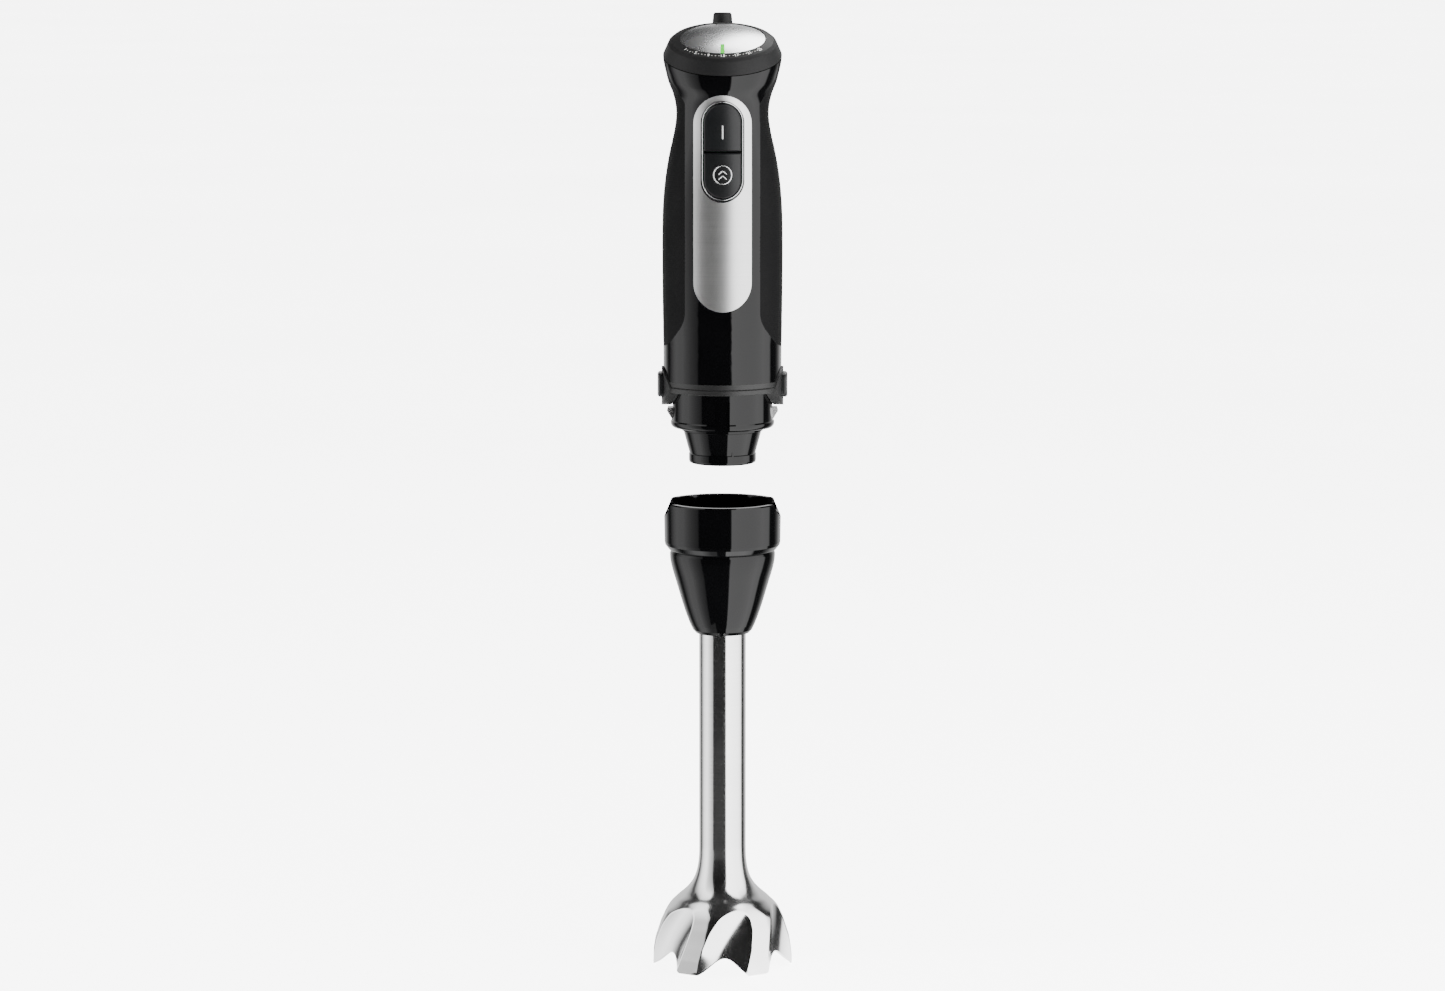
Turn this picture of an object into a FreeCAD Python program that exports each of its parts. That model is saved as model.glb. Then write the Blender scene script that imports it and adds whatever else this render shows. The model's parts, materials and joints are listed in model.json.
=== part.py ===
"""Immersion blender: motor handle with a speed dial and two buttons, and a clip-on blending shaft.

Frame: millimetres, +Z up the blender's axis, the front with the buttons faces -Y, and the origin
is on the axis at the level of the bell's feet.  The blending shaft is unclipped and lowered clear
of the handle; it slides up by shaft_travel to clip on.
"""
import FreeCAD, Part
import math
import os

import Sketcher
from FreeCAD import Placement, Rotation, Vector

# ---------------------------------------------------------------- driving dimensions
DIMENSIONS = {
    # handle stack
    "shaft_travel": 54.3,
    "collar_low": 283.0,
    "collar_high": 288.2,
    "collar_radius": 28.65,
    "grip_low": 304.6,
    "waist_height": 417.5,
    "dial_height": 444.3,
    "dial_radius": 28.55,
    "dial_tilt": 18.5,
    "grip_thickness": 1.2,
    "cover_depth": 3.4,
    "panel_thickness": 0.8,
    "vent_low": 293.5,
    "vent_high": 301.0,
    "vent_step": 9.0,
    # front panel and buttons
    "panel_width": 27.8,
    "panel_low": 323.2,
    "panel_high": 426.3,
    "bezel_width": 20.9,
    "bezel_low": 375.6,
    "bezel_high": 423.4,
    "button_width": 18.0,
    "button_low": 377.4,
    "button_high": 422.4,
    "button_split": 399.4,
    "button_gap": 0.6,
    "button_play": 0.3,
    "button_proud": 0.8,
    "button_depth": 4.0,
    "button_chamfer": 0.7,
    "start_height": 411.0,
    "start_face_radius": 22.6,
    "turbo_height": 388.7,
    "turbo_face_radius": 26.6,
    "grip_edge": 18.0,
    # dial, in its own tilted frame
    "ring_gap": 0.4,
    "ring_shoulder_radius": 26.0,
    "ring_shoulder_height": 6.4,
    "ring_top_radius": 24.5,
    "ring_top_height": 7.7,
    "ring_bore_radius": 20.7,
    "ring_crown_height": 8.9,
    "web_low": 3.0,
    "web_high": 4.6,
    "hub_radius": 7.2,
    "hub_high": 6.0,
    "running_gap": 0.06,
    "cap_radius": 20.45,
    "cap_edge_height": 8.9,
    "cap_crown_height": 11.3,
    "cap_skirt_low": 5.2,
    "cap_wall": 1.2,
    "pointer_width": 1.8,
    "pointer_length": 7.5,
    "pointer_proud": 0.2,
    # cord gland
    "gland_offset": 32.6,
    "gland_low": 440.0,
    "gland_high": 463.8,
    "gland_radius": 4.9,
    "gland_tip_radius": 4.3,
    "gland_bore_radius": 3.4,
    "boss_radius": 6.3,
    "boss_low": 430.0,
    "boss_high": 447.0,
    # release pads, buttons and hooks
    "pad_radius": 29.5,
    "pad_inner_radius": 24.9,
    "pad_low": 275.9,
    "pad_high": 294.6,
    "pad_half_length": 14.8,
    "release_radius": 31.5,
    "release_low": 280.1,
    "release_high": 291.7,
    "release_half_length": 8.0,
    "release_play": 0.35,
    "release_inner": 22.4,
    "hook_inner": 20.8,
    "hook_half_width": 4.5,
    "hook_low": 268.8,
    "hook_tip_height": 273.3,
    "hook_high": 274.7,
    "hook_tip_radius": 26.9,
    # coupling nose
    "nose_low": 247.6,
    "nose_band_radius": 16.3,
    "nose_band_high": 252.2,
    "nose_cone_low_radius": 16.0,
    "nose_cone_radius": 18.9,
    "nose_cone_high": 263.2,
    "nose_shoulder": 265.0,
    "nose_radius": 24.6,
    "nose_lip_radius": 25.1,
    "nose_top": 292.0,
    "nose_bore_radius": 21.6,
    "nose_throat_radius": 12.5,
    "nose_floor_low": 268.0,
    "nose_floor_high": 271.5,
    "nose_rib_angle": 17.5,
    "nose_rib_high": 258.0,
    "slot_width": 6.3,
    # motor
    "shaft_radius": 2.5,
    "rotor_low": 262.0,
    "rotor_high": 372.0,
    "seal_radius": 8.0,
    "bearing_radius": 9.5,
    "bearing_low": 285.0,
    "bearing_high": 293.0,
    "bracket_hub_radius": 12.5,
    "bracket_hub_low": 280.0,
    "bracket_low": 292.2,
    "bracket_high": 295.0,
    "bracket_radius": 23.0,
    "mount_radius": 24.9,
    "fan_low": 298.0,
    "fan_high": 306.0,
    "fan_radius": 19.5,
    "stator_low": 318.0,
    "stator_high": 344.0,
    "stator_radius": 24.4,
    "stator_ring_radius": 18.9,
    "stator_bore_radius": 13.4,
    "armature_radius": 12.9,
    "winding_overhang": 6.5,
    "commutator_radius": 6.5,
    "commutator_low": 352.0,
    "commutator_high": 362.0,
    "upper_plate_low": 365.5,
    "upper_plate_high": 368.5,
    "upper_bearing_radius": 6.0,
    "screw_offset": 21.8,
    "screw_radius": 1.25,
    "coupling_radius": 7.0,
    "coupling_low": 254.0,
    "coupling_high": 267.6,
    "coupling_hex": 9.0,
    # electrics
    "board_half_width": 12.0,
    "board_front": -5.0,
    "board_back": -3.4,
    "capacitor_half_width": 7.0,
    "capacitor_back": 5.0,
    "capacitor_low": 384.0,
    "capacitor_high": 402.0,
    # blending shaft
    "socket_rim": 228.7,
    "socket_radius": 28.5,
    "socket_step": 208.7,
    "socket_bore_radius": 25.5,
    "socket_floor": 209.3,
    "socket_low": 164.2,
    "socket_neck_radius": 13.0,
    "socket_cone_radius": 19.4,
    "socket_cone_low_radius": 16.7,
    "socket_well_low": 192.7,
    "groove_radius": 27.3,
    "groove_low": 213.4,
    "groove_half_width": 5.2,
    "scoop_play": 0.45,
    "tube_radius": 11.4,
    "tube_wall": 0.8,
    "tube_low": 57.9,
    "tube_high": 178.0,
    "bell_radius": 34.0,
    "bell_wall": 1.1,
    "bell_neck_radius": 11.45,
    "bell_arch_height": 8.0,
    "foot_half_angle": 7.0,
    "scallop_radius": 30.0,
    "scallop_reach": 29.4,
    "scallop_tilt": 10.0,
    "spindle_radius": 3.0,
    "spindle_low": 8.0,
    "spindle_high": 199.0,
    "dog_low": 193.5,
    "dog_high": 205.0,
    "dog_hex": 7.8,
    "bush_gap": 0.05,
    "upper_bush_radius": 9.0,
    "upper_bush_low": 180.0,
    "upper_bush_high": 190.0,
    "lower_bush_radius": 8.6,
    "lower_bush_low": 44.0,
    "lower_bush_high": 57.5,
    "blade_height": 13.0,
    "blade_thickness": 1.4,
    "blade_radius": 22.0,
    "blade_hub_radius": 6.0,
    "blade_pitch": 12.0,
}

# Height, radius and name of each station up the side of the handle.
HANDLE_STATIONS = (
    ("foot", 288.2, 28.6),
    ("heel", 325.0, 28.82),
    ("belly", 355.0, 29.0),
    ("palm", 376.0, 28.4),
    ("finger", 390.0, 26.85),
    ("hollow", 398.0, 25.4),
    ("throat", 406.5, 23.5),
    ("waist", 417.5, 22.2),
    ("flare", 425.4, 23.5),
    ("swell", 432.0, 25.9),
    ("shoulder", 438.0, 27.5),
    ("crown", 444.3, 28.55),
)

doc = FreeCAD.newDocument("ImmersionBlender")
sheet = doc.addObject("Spreadsheet::Sheet", "Sizes")


class Size:
    """A number together with the sheet expression that gives it."""

    def __init__(self, value, text):
        self.value = float(value)
        self.text = text

    def combined(self, sign, other, value):
        return Size(value, f"({self.text} {sign} {words(other)})")

    def __add__(self, other):
        return self.combined("+", other, self.value + number(other))

    def __sub__(self, other):
        return self.combined("-", other, self.value - number(other))

    def __mul__(self, other):
        return self.combined("*", other, self.value * number(other))

    def __truediv__(self, other):
        return self.combined("/", other, self.value / number(other))

    def __neg__(self):
        return self * -1


def number(size):
    return size.value if isinstance(size, Size) else float(size)


def words(size):
    return size.text if isinstance(size, Size) else repr(float(size))


class Cells:
    """The sheet's cells as attributes, each one a Size."""


s = Cells()


def fill_sheet():
    rows = list(DIMENSIONS.items())
    for name, height, radius in HANDLE_STATIONS:
        rows.append((f"{name}_height_up", height))
        rows.append((f"{name}_radius_out", radius))
    for row, (alias, value) in enumerate(rows, start=1):
        sheet.set(f"A{row}", alias)
        sheet.set(f"B{row}", str(value))
        sheet.setAlias(f"B{row}", alias)
    doc.recompute()
    for alias, _ in rows:
        setattr(s, alias, Size(sheet.get(alias), f"Sizes.{alias}"))


fill_sheet()

# ---------------------------------------------------------------- helpers
SUB_PARTS = []
Z_AXIS = Vector(0, 0, 1)
Y_AXIS = Vector(0, 1, 0)
X_AXIS = Vector(1, 0, 0)


def keep(name, item):
    """Name a finished sub-part."""
    item.Label = name
    SUB_PARTS.append(item)
    return item


def bind(item, prop, size):
    item.setExpression(prop, words(size))


def place(item, x=0, y=0, z=0):
    bind(item, "Placement.Base.x", x)
    bind(item, "Placement.Base.y", y)
    bind(item, "Placement.Base.z", z)


def lean(item):
    """Stand a sub-part that is drawn about Z on the dial's tilted axis."""
    item.Placement.Rotation = Rotation(X_AXIS, s.dial_tilt.value)
    bind(item, "Placement.Rotation.Angle", s.dial_tilt)
    bind(item, "Placement.Base.z", s.dial_height)


def cylinder(name, radius, low, high, x=0, y=0):
    item = doc.addObject("Part::Cylinder", name)
    bind(item, "Radius", radius)
    bind(item, "Height", high - low)
    place(item, x, y, low)
    return item


def block(name, x, y, z):
    """A box between the two ends given for each axis."""
    item = doc.addObject("Part::Box", name)
    bind(item, "Length", x[1] - x[0])
    bind(item, "Width", y[1] - y[0])
    bind(item, "Height", z[1] - z[0])
    place(item, x[0], y[0], z[0])
    return item


def fused(name, *items):
    item = doc.addObject("Part::MultiFuse", name)
    item.Shapes = list(items)
    return item


def cut(name, base, *tools):
    item = doc.addObject("Part::Cut", name)
    item.Base = base
    item.Tool = tools[0] if len(tools) == 1 else fused(f"{name}_tools", *tools)
    return item


def formed(name, shape):
    """A sub-part whose shape comes straight from Part's own functions."""
    item = doc.addObject("Part::Feature", name)
    item.Shape = shape
    return item


def origin_feature(body, role):
    return [f for f in body.Origin.OriginFeatures if f.Role == role][0]


def outline_sketch(body, name, role, outline, height=0):
    """A closed outline of straight lines whose corners are bound to the sheet."""
    sketch = body.newObject("Sketcher::SketchObject", name)
    sketch.AttachmentSupport = [(origin_feature(body, role), "")]
    sketch.MapMode = "FlatFace"
    bind(sketch, "AttachmentOffset.Base.z", height)
    corners = [Vector(number(a), number(b), 0) for a, b in outline]
    for i, corner in enumerate(corners):
        sketch.addGeometry(Part.LineSegment(corner, corners[(i + 1) % len(corners)]), False)
    for i, corner in enumerate(outline):
        sketch.addConstraint(Sketcher.Constraint("Coincident", i, 2, (i + 1) % len(outline), 1))
        for kind, size, axis in (("DistanceX", corner[0], -2), ("DistanceY", corner[1], -1)):
            if number(size) == 0:
                sketch.addConstraint(Sketcher.Constraint("PointOnObject", i, 1, axis))
                continue
            index = sketch.addConstraint(
                Sketcher.Constraint(kind, -1, 1, i, 1, number(size)))
            if isinstance(size, Size):
                sketch.setExpression(f"Constraints[{index}]", size.text)
    return sketch


def turned(name, outline):
    """A PartDesign body turned about Z from (radius, height) corners."""
    body = doc.addObject("PartDesign::Body", f"{name}_body")
    sketch = outline_sketch(body, f"{name}_outline", "XZ_Plane", outline)
    turn = body.newObject("PartDesign::Revolution", f"{name}_turn")
    turn.Profile = sketch
    turn.ReferenceAxis = (sketch, ["V_Axis"])
    turn.Angle = 360
    body.Tip = turn
    doc.recompute()
    return body


def repeated(body, feature, count):
    """Repeat a feature evenly round the body's Z axis."""
    if count < 2:
        body.Tip = feature
        return
    pattern = body.newObject("PartDesign::PolarPattern", f"{feature.Name}_ring")
    pattern.Originals = [feature]
    pattern.Axis = (origin_feature(body, "Z_Axis"), [""])
    pattern.Angle = 360
    pattern.Occurrences = count
    body.Tip = pattern


def grow(body, name, outline, low, high, count=1):
    """Raise an XY outline from low to high and add it to the body."""
    sketch = outline_sketch(body, f"{name}_outline", "XY_Plane", outline, low)
    pad = body.newObject("PartDesign::Pad", f"{name}_pad")
    pad.Profile = sketch
    bind(pad, "Length", high - low)
    repeated(body, pad, count)
    doc.recompute()


def carve(body, name, outline, low, high, count=1):
    """Sink an XY outline from high down to low out of the body."""
    before = body.Shape.Volume
    sketch = outline_sketch(body, f"{name}_outline", "XY_Plane", outline, high)
    pocket = body.newObject("PartDesign::Pocket", f"{name}_pocket")
    pocket.Profile = sketch
    bind(pocket, "Length", high - low)
    repeated(body, pocket, count)
    doc.recompute()
    if body.Shape.Volume > before - 0.01:
        raise RuntimeError(f"{name} cut nothing")


def rectangle(x, y):
    return [(x[0], y[0]), (x[1], y[0]), (x[1], y[1]), (x[0], y[1])]


def hexagon(across):
    corner = across / math.sqrt(3)
    spots = [(corner * math.cos(math.radians(60 * i)), corner * math.sin(math.radians(60 * i)))
             for i in range(6)]
    return [(0 if abs(number(x)) < 1e-6 else x, 0 if abs(number(y)) < 1e-6 else y)
            for x, y in spots]


def both_sides(half):
    return (-half, half)


def through(points):
    """A smooth edge through (radius, height) points."""
    curve = Part.BSplineCurve()
    curve.interpolate([Vector(number(r), 0, number(z)) for r, z in points])
    return curve.toShape()


def straight(points):
    places = [Vector(number(r), 0, number(z)) for r, z in points]
    return [Part.makeLine(a, b) for a, b in zip(places, places[1:])]


def spun(edges):
    """A solid turned about Z from the edges of a closed outline."""
    face = Part.Face(Part.Wire(Part.__sortEdges__(edges)))
    return face.revolve(Vector(0, 0, 0), Z_AXIS, 360)


def slab(x, y, z):
    low = Vector(number(x[0]), number(y[0]), number(z[0]))
    return Part.makeBox(number(x[1]) - low.x, number(y[1]) - low.y, number(z[1]) - low.z, low)


def capsule(width, low, high, near, far, play=0.0):
    """A round-ended upright prism in front of the axis, from y = near to y = far."""
    half = number(width) / 2 + play
    bottom = number(low) - play + half
    top = number(high) + play - half
    edges = [
        Part.makeLine(Vector(half, near, bottom), Vector(half, near, top)),
        Part.Arc(Vector(half, near, top), Vector(0, near, top + half),
                 Vector(-half, near, top)).toShape(),
        Part.makeLine(Vector(-half, near, top), Vector(-half, near, bottom)),
        Part.Arc(Vector(-half, near, bottom), Vector(0, near, bottom - half),
                 Vector(half, near, bottom)).toShape(),
    ]
    return Part.Face(Part.Wire(edges)).extrude(Vector(0, far - near, 0))


def coil(radius, wire, length, turns):
    """A round-wire compression spring along +Z from the origin."""
    path = Part.makeHelix((length - 2 * wire) / turns, length - 2 * wire, radius)
    ring = Part.Wire(Part.makeCircle(wire, Vector(radius, 0, 0), Y_AXIS))
    spring = Part.Wire(path.Edges).makePipeShell([ring], True, True)
    spring.translate(Vector(0, 0, wire))
    return spring


# ---------------------------------------------------------------- handle surface
STRETCH = 7.0
LAYERS = 30


def handle_tilt(height):
    """How far the handle's sections lean towards the dial, in degrees."""
    waist, crown = s.waist_height.value, s.dial_height.value
    share = min(1.0, max(0.0, (height - waist) / (crown - waist)))
    return s.dial_tilt.value * share * share * (3 - 2 * share)


def handle_ring(height, radius, lift=0.0):
    """A section of the handle: a circle leaning forward about the axis, lifted along its normal."""
    tilt = math.radians(handle_tilt(height))
    normal = Vector(0, -math.sin(tilt), math.cos(tilt))
    centre = Vector(0, 0, height) + normal * lift
    return Part.Wire(Part.makeCircle(radius, centre, normal))


def handle_solid(inset):
    """The handle's outer form, drawn in by inset and run past both of its ends."""
    stations = [(getattr(s, f"{name}_height_up").value, getattr(s, f"{name}_radius_out").value)
                for name, _, _ in HANDLE_STATIONS]
    side = Part.BSplineCurve()
    side.interpolate([Vector(radius, 0, height) for height, radius in stations])
    first, last = side.FirstParameter, side.LastParameter
    rings = [handle_ring(stations[0][0], stations[0][1] - inset, -STRETCH)]
    for layer in range(LAYERS + 1):
        spot = side.value(first + (last - first) * layer / LAYERS)
        rings.append(handle_ring(spot.z, spot.x - inset))
    rings.append(handle_ring(stations[-1][0], stations[-1][1] - inset, STRETCH))
    return Part.makeLoft(rings, True, False)


def above_dial_plane(lift=0.0):
    """Everything over the plane that the dial sits on."""
    lid = slab((-60, 60), (-60, 60), (lift, 80))
    lid.Placement = Placement(Vector(0, 0, s.dial_height.value),
                              Rotation(X_AXIS, s.dial_tilt.value))
    return lid


def front_opening():
    """The shape, seen from the front, that the soft grip leaves open."""
    edge = s.grip_edge.value
    low = s.grip_low.value
    foot = Part.BSplineCurve()
    foot.interpolate([Vector(x, 0, low + z) for x, z in
                      ((30.0, -1.2), (28.6, 0), (26.1, 1.9), (23.1, 5.9), (19.6, 11.4), (edge, 18.5))])
    crown = Part.BSplineCurve()
    crown.interpolate([Vector(x, 0, low + z) for x, z in
                       ((edge, 117.5), (19.1, 119.4), (21.9, 123.9), (24.1, 127.0), (26.8, 136.1),
                        (27.4, 142.0))])
    right = [foot.toShape(), Part.makeLine(foot.EndPoint, crown.StartPoint), crown.toShape()]
    mirror = FreeCAD.Matrix()
    mirror.scale(-1, 1, 1)
    left = [curve.transformGeometry(mirror) for curve in right]
    ends = [Part.makeLine(foot.StartPoint, Vector(-30.0, 0, low - 1.2)),
            Part.makeLine(crown.EndPoint, Vector(-27.4, 0, low + 142.0))]
    outline = Part.Wire(Part.__sortEdges__(right + left + ends))
    return Part.Face(outline).extrude(Vector(0, -50, 0))


def pad_prism(side, play=0.0, near=20.0, far=36.0):
    """The eye-shaped release pad, drawn out along X on one side."""
    half = s.pad_half_length.value + play
    low = s.pad_low.value - play
    high = s.pad_high.value + play
    middle = (low + high) / 2
    start = side * near
    top = Part.Arc(Vector(start, -half, middle), Vector(start, 0, high),
                   Vector(start, half, middle)).toShape()
    bottom = Part.Arc(Vector(start, half, middle), Vector(start, 0, low),
                      Vector(start, -half, middle)).toShape()
    return Part.Face(Part.Wire([top, bottom])).extrude(Vector(side * (far - near), 0, 0))


def release_prism(side, play=0.0, near=20.0, far=40.0):
    """The round-cornered outline of a release button, drawn out along X on one side."""
    half = s.release_half_length.value + play
    box = slab((near, far), (-half, half), (s.release_low - play, s.release_high + play))
    edges = [e for e in box.Edges if abs(e.tangentAt(e.FirstParameter).x) > 0.9]
    box = box.makeFillet(3.5, edges)
    if side < 0:
        box.rotate(Vector(0, 0, 0), Z_AXIS, 180)
    return box


def post(radius, low, high, x=0.0, y=0.0):
    return Part.makeCylinder(number(radius), number(high) - number(low),
                             Vector(number(x), number(y), number(low)))


# ---------------------------------------------------------------- handle covers and grip
SKIN = handle_solid(0)
UNDER_GRIP = handle_solid(s.grip_thickness.value)
CAVITY = handle_solid(s.cover_depth.value)
OPENING = front_opening()
LID = above_dial_plane()
BELOW_COVERS = slab((-60, 60), (-60, 60), (200, s.collar_high))


def cord_boss():
    """The fin at the back of the handle that carries the cord gland."""
    radius = s.boss_radius.value
    offset = s.gland_offset.value
    high = s.boss_high.value
    back = offset + radius + 1
    corners = [Vector(-radius, y, z) for y, z in (
        (15, high), (back, high), (back, high - 4.5), (23, s.boss_low.value - 6),
        (15, s.boss_low.value - 6))]
    fin = Part.Face(Part.makePolygon(corners + corners[:1])).extrude(Vector(2 * radius, 0, 0))
    plan = slab((-radius, radius), (14, offset), (400, 460)).fuse(post(radius, 400, 460, 0, offset))
    return fin.common(plan.removeSplitter())


def soft_grip():
    below = slab((-60, 60), (-60, 60), (200, s.grip_low))
    return SKIN.cut(UNDER_GRIP).cut(OPENING).cut(LID).cut(below).cut(cord_boss())


def covers():
    """The two halves of the hard housing, front and rear."""
    shell = SKIN.cut([CAVITY, LID, BELOW_COVERS])
    shell = shell.cut(soft_grip_shape.copy())
    shell = shell.fuse(cord_boss().cut([CAVITY, LID])).removeSplitter()
    shell = shell.cut(post(s.gland_radius, s.gland_low, 470, 0, s.gland_offset))
    shell = shell.cut([pad_prism(1), pad_prism(-1)])
    vents = []
    for step in range(-4, 5):
        vent = slab((-0.8, 0.8), (20, 40), (s.vent_low, s.vent_high))
        vent.rotate(Vector(0, 0, 0), Z_AXIS, s.vent_step.value * step)
        vents.append(vent)
    shell = shell.cut(vents)
    recess = SKIN.cut(handle_solid(s.panel_thickness.value))
    recess = recess.common(capsule(s.panel_width, s.panel_low, s.panel_high, -50, 0))
    window = capsule(s.bezel_width, s.bezel_low, s.bezel_high, -50, 0)
    shell = shell.cut([recess, window])
    front = shell.common(slab((-60, 60), (-60, 0), (200, 520)))
    rear = shell.common(slab((-60, 60), (0, 60), (200, 520)))
    return front, rear, recess


soft_grip_shape = soft_grip()
front_shape, rear_shape, recess_shape = covers()
BEZEL_HOLE = capsule(s.button_width, s.button_low, s.button_high, -50, 0, s.button_play.value)
BEZEL_BLANK = capsule(s.bezel_width, s.bezel_low, s.bezel_high, -50, 0)

keep("soft_grip", formed("soft_grip", soft_grip_shape))
keep("front_cover", formed("front_cover", front_shape))
keep("rear_cover", formed("rear_cover", rear_shape))
keep("trim_panel", formed("trim_panel", recess_shape.cut(BEZEL_BLANK)))


def button_bezel():
    body = handle_solid(-0.35).cut(handle_solid(5.0)).common(BEZEL_BLANK)
    return body.cut(BEZEL_HOLE)


def push_button(low, high):
    """A button cut from the handle's form, standing proud of the bezel with chamfered edges."""
    proud = s.button_proud.value
    form = handle_solid(-proud).cut(handle_solid(s.button_depth.value - proud))
    button = form.common(capsule(s.button_width, s.button_low, s.button_high, -50, 0))
    button = button.common(slab((-20, 20), (-50, 0), (low, high)))
    touch_face = min(button.Faces, key=lambda face: face.CenterOfMass.y)
    return button.makeChamfer(s.button_chamfer.value, touch_face.Edges)


keep("button_bezel", formed("button_bezel", button_bezel()))
half_gap = s.button_gap.value / 2
keep("start_button", formed("start_button", push_button(
    s.button_split + half_gap, s.button_high + 1)))
keep("turbo_button", formed("turbo_button", push_button(
    s.button_low - 1, s.button_split - half_gap)))

# ---------------------------------------------------------------- dial
keep("dial_base", turned("dial_base", [
    (0, -2.4), (s.crown_radius_out - s.cover_depth - 2.4, -2.4),
    (s.crown_radius_out - s.cover_depth - 0.3, 0), (s.hub_radius, 0),
    (s.hub_radius, s.hub_high), (0, s.hub_high)]))
keep("dial_track", turned("dial_track", [
    (9.0, 0), (18.0, 0), (18.0, 1.0), (9.0, 1.0)]))
keep("dial_wiper", turned("dial_wiper", [
    (12.0, 1.4), (15.0, 1.4), (15.0, s.web_low), (12.0, s.web_low)]))
keep("speed_dial", turned("speed_dial", [
    (s.hub_radius + s.running_gap, s.web_low), (s.ring_bore_radius, s.web_low),
    (s.ring_bore_radius + 1.5, s.ring_gap), (s.dial_radius, s.ring_gap),
    (s.ring_shoulder_radius, s.ring_shoulder_height), (s.ring_top_radius, s.ring_top_height),
    (s.ring_bore_radius, s.ring_crown_height), (s.ring_bore_radius, s.web_high),
    (s.hub_radius + s.running_gap, s.web_high)]))
for item in SUB_PARTS[-4:]:
    lean(item)


def dome(edge_radius, edge_height, crown_height):
    """A shallow spherical cap on a round post that starts at the ring's base plane."""
    rise = crown_height - edge_height
    curve = (edge_radius ** 2 + rise ** 2) / (2 * rise)
    ball = Part.makeSphere(curve, Vector(0, 0, crown_height - curve), X_AXIS, -90, 90, 360)
    return post(edge_radius, 0, crown_height + 1).common(ball)


def cap_and_pointer():
    radius, edge = s.cap_radius.value, s.cap_edge_height.value - 0.25
    crown, wall = s.cap_crown_height.value, s.cap_wall.value
    stem = s.hub_radius.value - 1.5
    cap = dome(radius, edge, crown).cut(dome(radius - wall, edge - wall, crown - wall))
    cap = cap.cut(post(radius + 1, 0, s.cap_skirt_low))
    cap = cap.fuse(post(stem, s.hub_high, crown - wall - 0.02))
    bar = slab((-s.pointer_width / 2, s.pointer_width / 2),
               (-radius + 0.35, -radius + 0.35 + s.pointer_length.value), (edge - 2, 20))
    proud = s.pointer_proud.value
    pointer = dome(radius, edge + proud, crown + proud).cut(dome(radius, edge, crown)).common(bar)
    return cap, pointer


cap_shape, pointer_shape = cap_and_pointer()
keep("dial_cap", formed("dial_cap", cap_shape))
keep("dial_pointer", formed("dial_pointer", pointer_shape))
for item in SUB_PARTS[-2:]:
    lean(item)

# ---------------------------------------------------------------- cord gland
gland = turned("cord_gland", [
    (s.gland_bore_radius, s.gland_low), (s.gland_radius, s.gland_low),
    (s.gland_radius, s.gland_high - 5.0), (s.gland_tip_radius + 0.2, s.gland_high - 0.8),
    (s.gland_tip_radius - 0.4, s.gland_high), (s.gland_bore_radius, s.gland_high)])
bind(gland, "Placement.Base.y", s.gland_offset)
keep("cord_gland", gland)

# ---------------------------------------------------------------- collar, release buttons, hooks


def collar_ring():
    inner, outer = s.pad_inner_radius.value, s.collar_radius.value
    low, high = s.collar_low.value, s.collar_high.value
    groove = 0.35
    middle = (low + high) / 2
    ring = spun(straight([(inner, low), (outer - 0.3, low), (outer, low + 0.3),
                          (outer, middle - groove), (outer - groove, middle),
                          (outer, middle + groove), (outer, high), (inner, high), (inner, low)]))
    shell = post(s.pad_radius, s.pad_low, s.pad_high).cut(
        post(inner, s.pad_low - 1, s.pad_high + 1))
    for side in (1, -1):
        ring = ring.fuse(shell.common(pad_prism(side)))
    for side in (1, -1):
        ring = ring.cut(release_prism(side, s.release_play.value))
    return ring.removeSplitter()


def release_button(side):
    button = release_prism(side, 0.0, s.release_inner.value).common(
        post(s.release_radius, s.release_low - 1, s.release_high + 1))
    middle = (s.release_low.value + s.release_high.value) / 2
    rim = [e for e in button.Edges if abs(e.CenterOfMass.x) > 29.0 and
           abs(e.CenterOfMass.y) + abs(e.CenterOfMass.z - middle) > 3.0]
    return button.makeFillet(0.8, rim)


def latch_hook(side):
    inner, outer = s.hook_inner.value, s.release_inner.value
    outline = [(inner, s.hook_low.value + 0.3), (outer + 1.8, s.hook_low.value),
               (s.hook_tip_radius.value, s.hook_tip_height.value),
               (s.hook_tip_radius.value - 0.5, s.hook_high.value), (outer, s.hook_high.value),
               (outer, s.release_high.value), (inner, s.release_high.value)]
    corners = [Vector(side * x, -s.hook_half_width.value, z) for x, z in outline]
    return Part.Face(Part.makePolygon(corners + corners[:1])).extrude(
        Vector(0, 2 * s.hook_half_width.value, 0))


keep("collar_ring", formed("collar_ring", collar_ring()))
for side_name, side in (("right", 1), ("left", -1)):
    keep(f"release_button_{side_name}",
         formed(f"release_button_{side_name}", release_button(side)))
    keep(f"latch_hook_{side_name}", formed(f"latch_hook_{side_name}", latch_hook(side)))


def latch_spring(side):
    start = s.bracket_hub_radius.value
    spring = coil(2.4, 0.35, s.hook_inner.value - start, 5)
    spring.rotate(Vector(0, 0, 0), Y_AXIS, 90 * side)
    spring.translate(Vector(side * start, 0, s.release_low.value + 4.5))
    return spring


for side_name, side in (("right", 1), ("left", -1)):
    keep(f"latch_spring_{side_name}", formed(f"latch_spring_{side_name}", latch_spring(side)))


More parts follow.
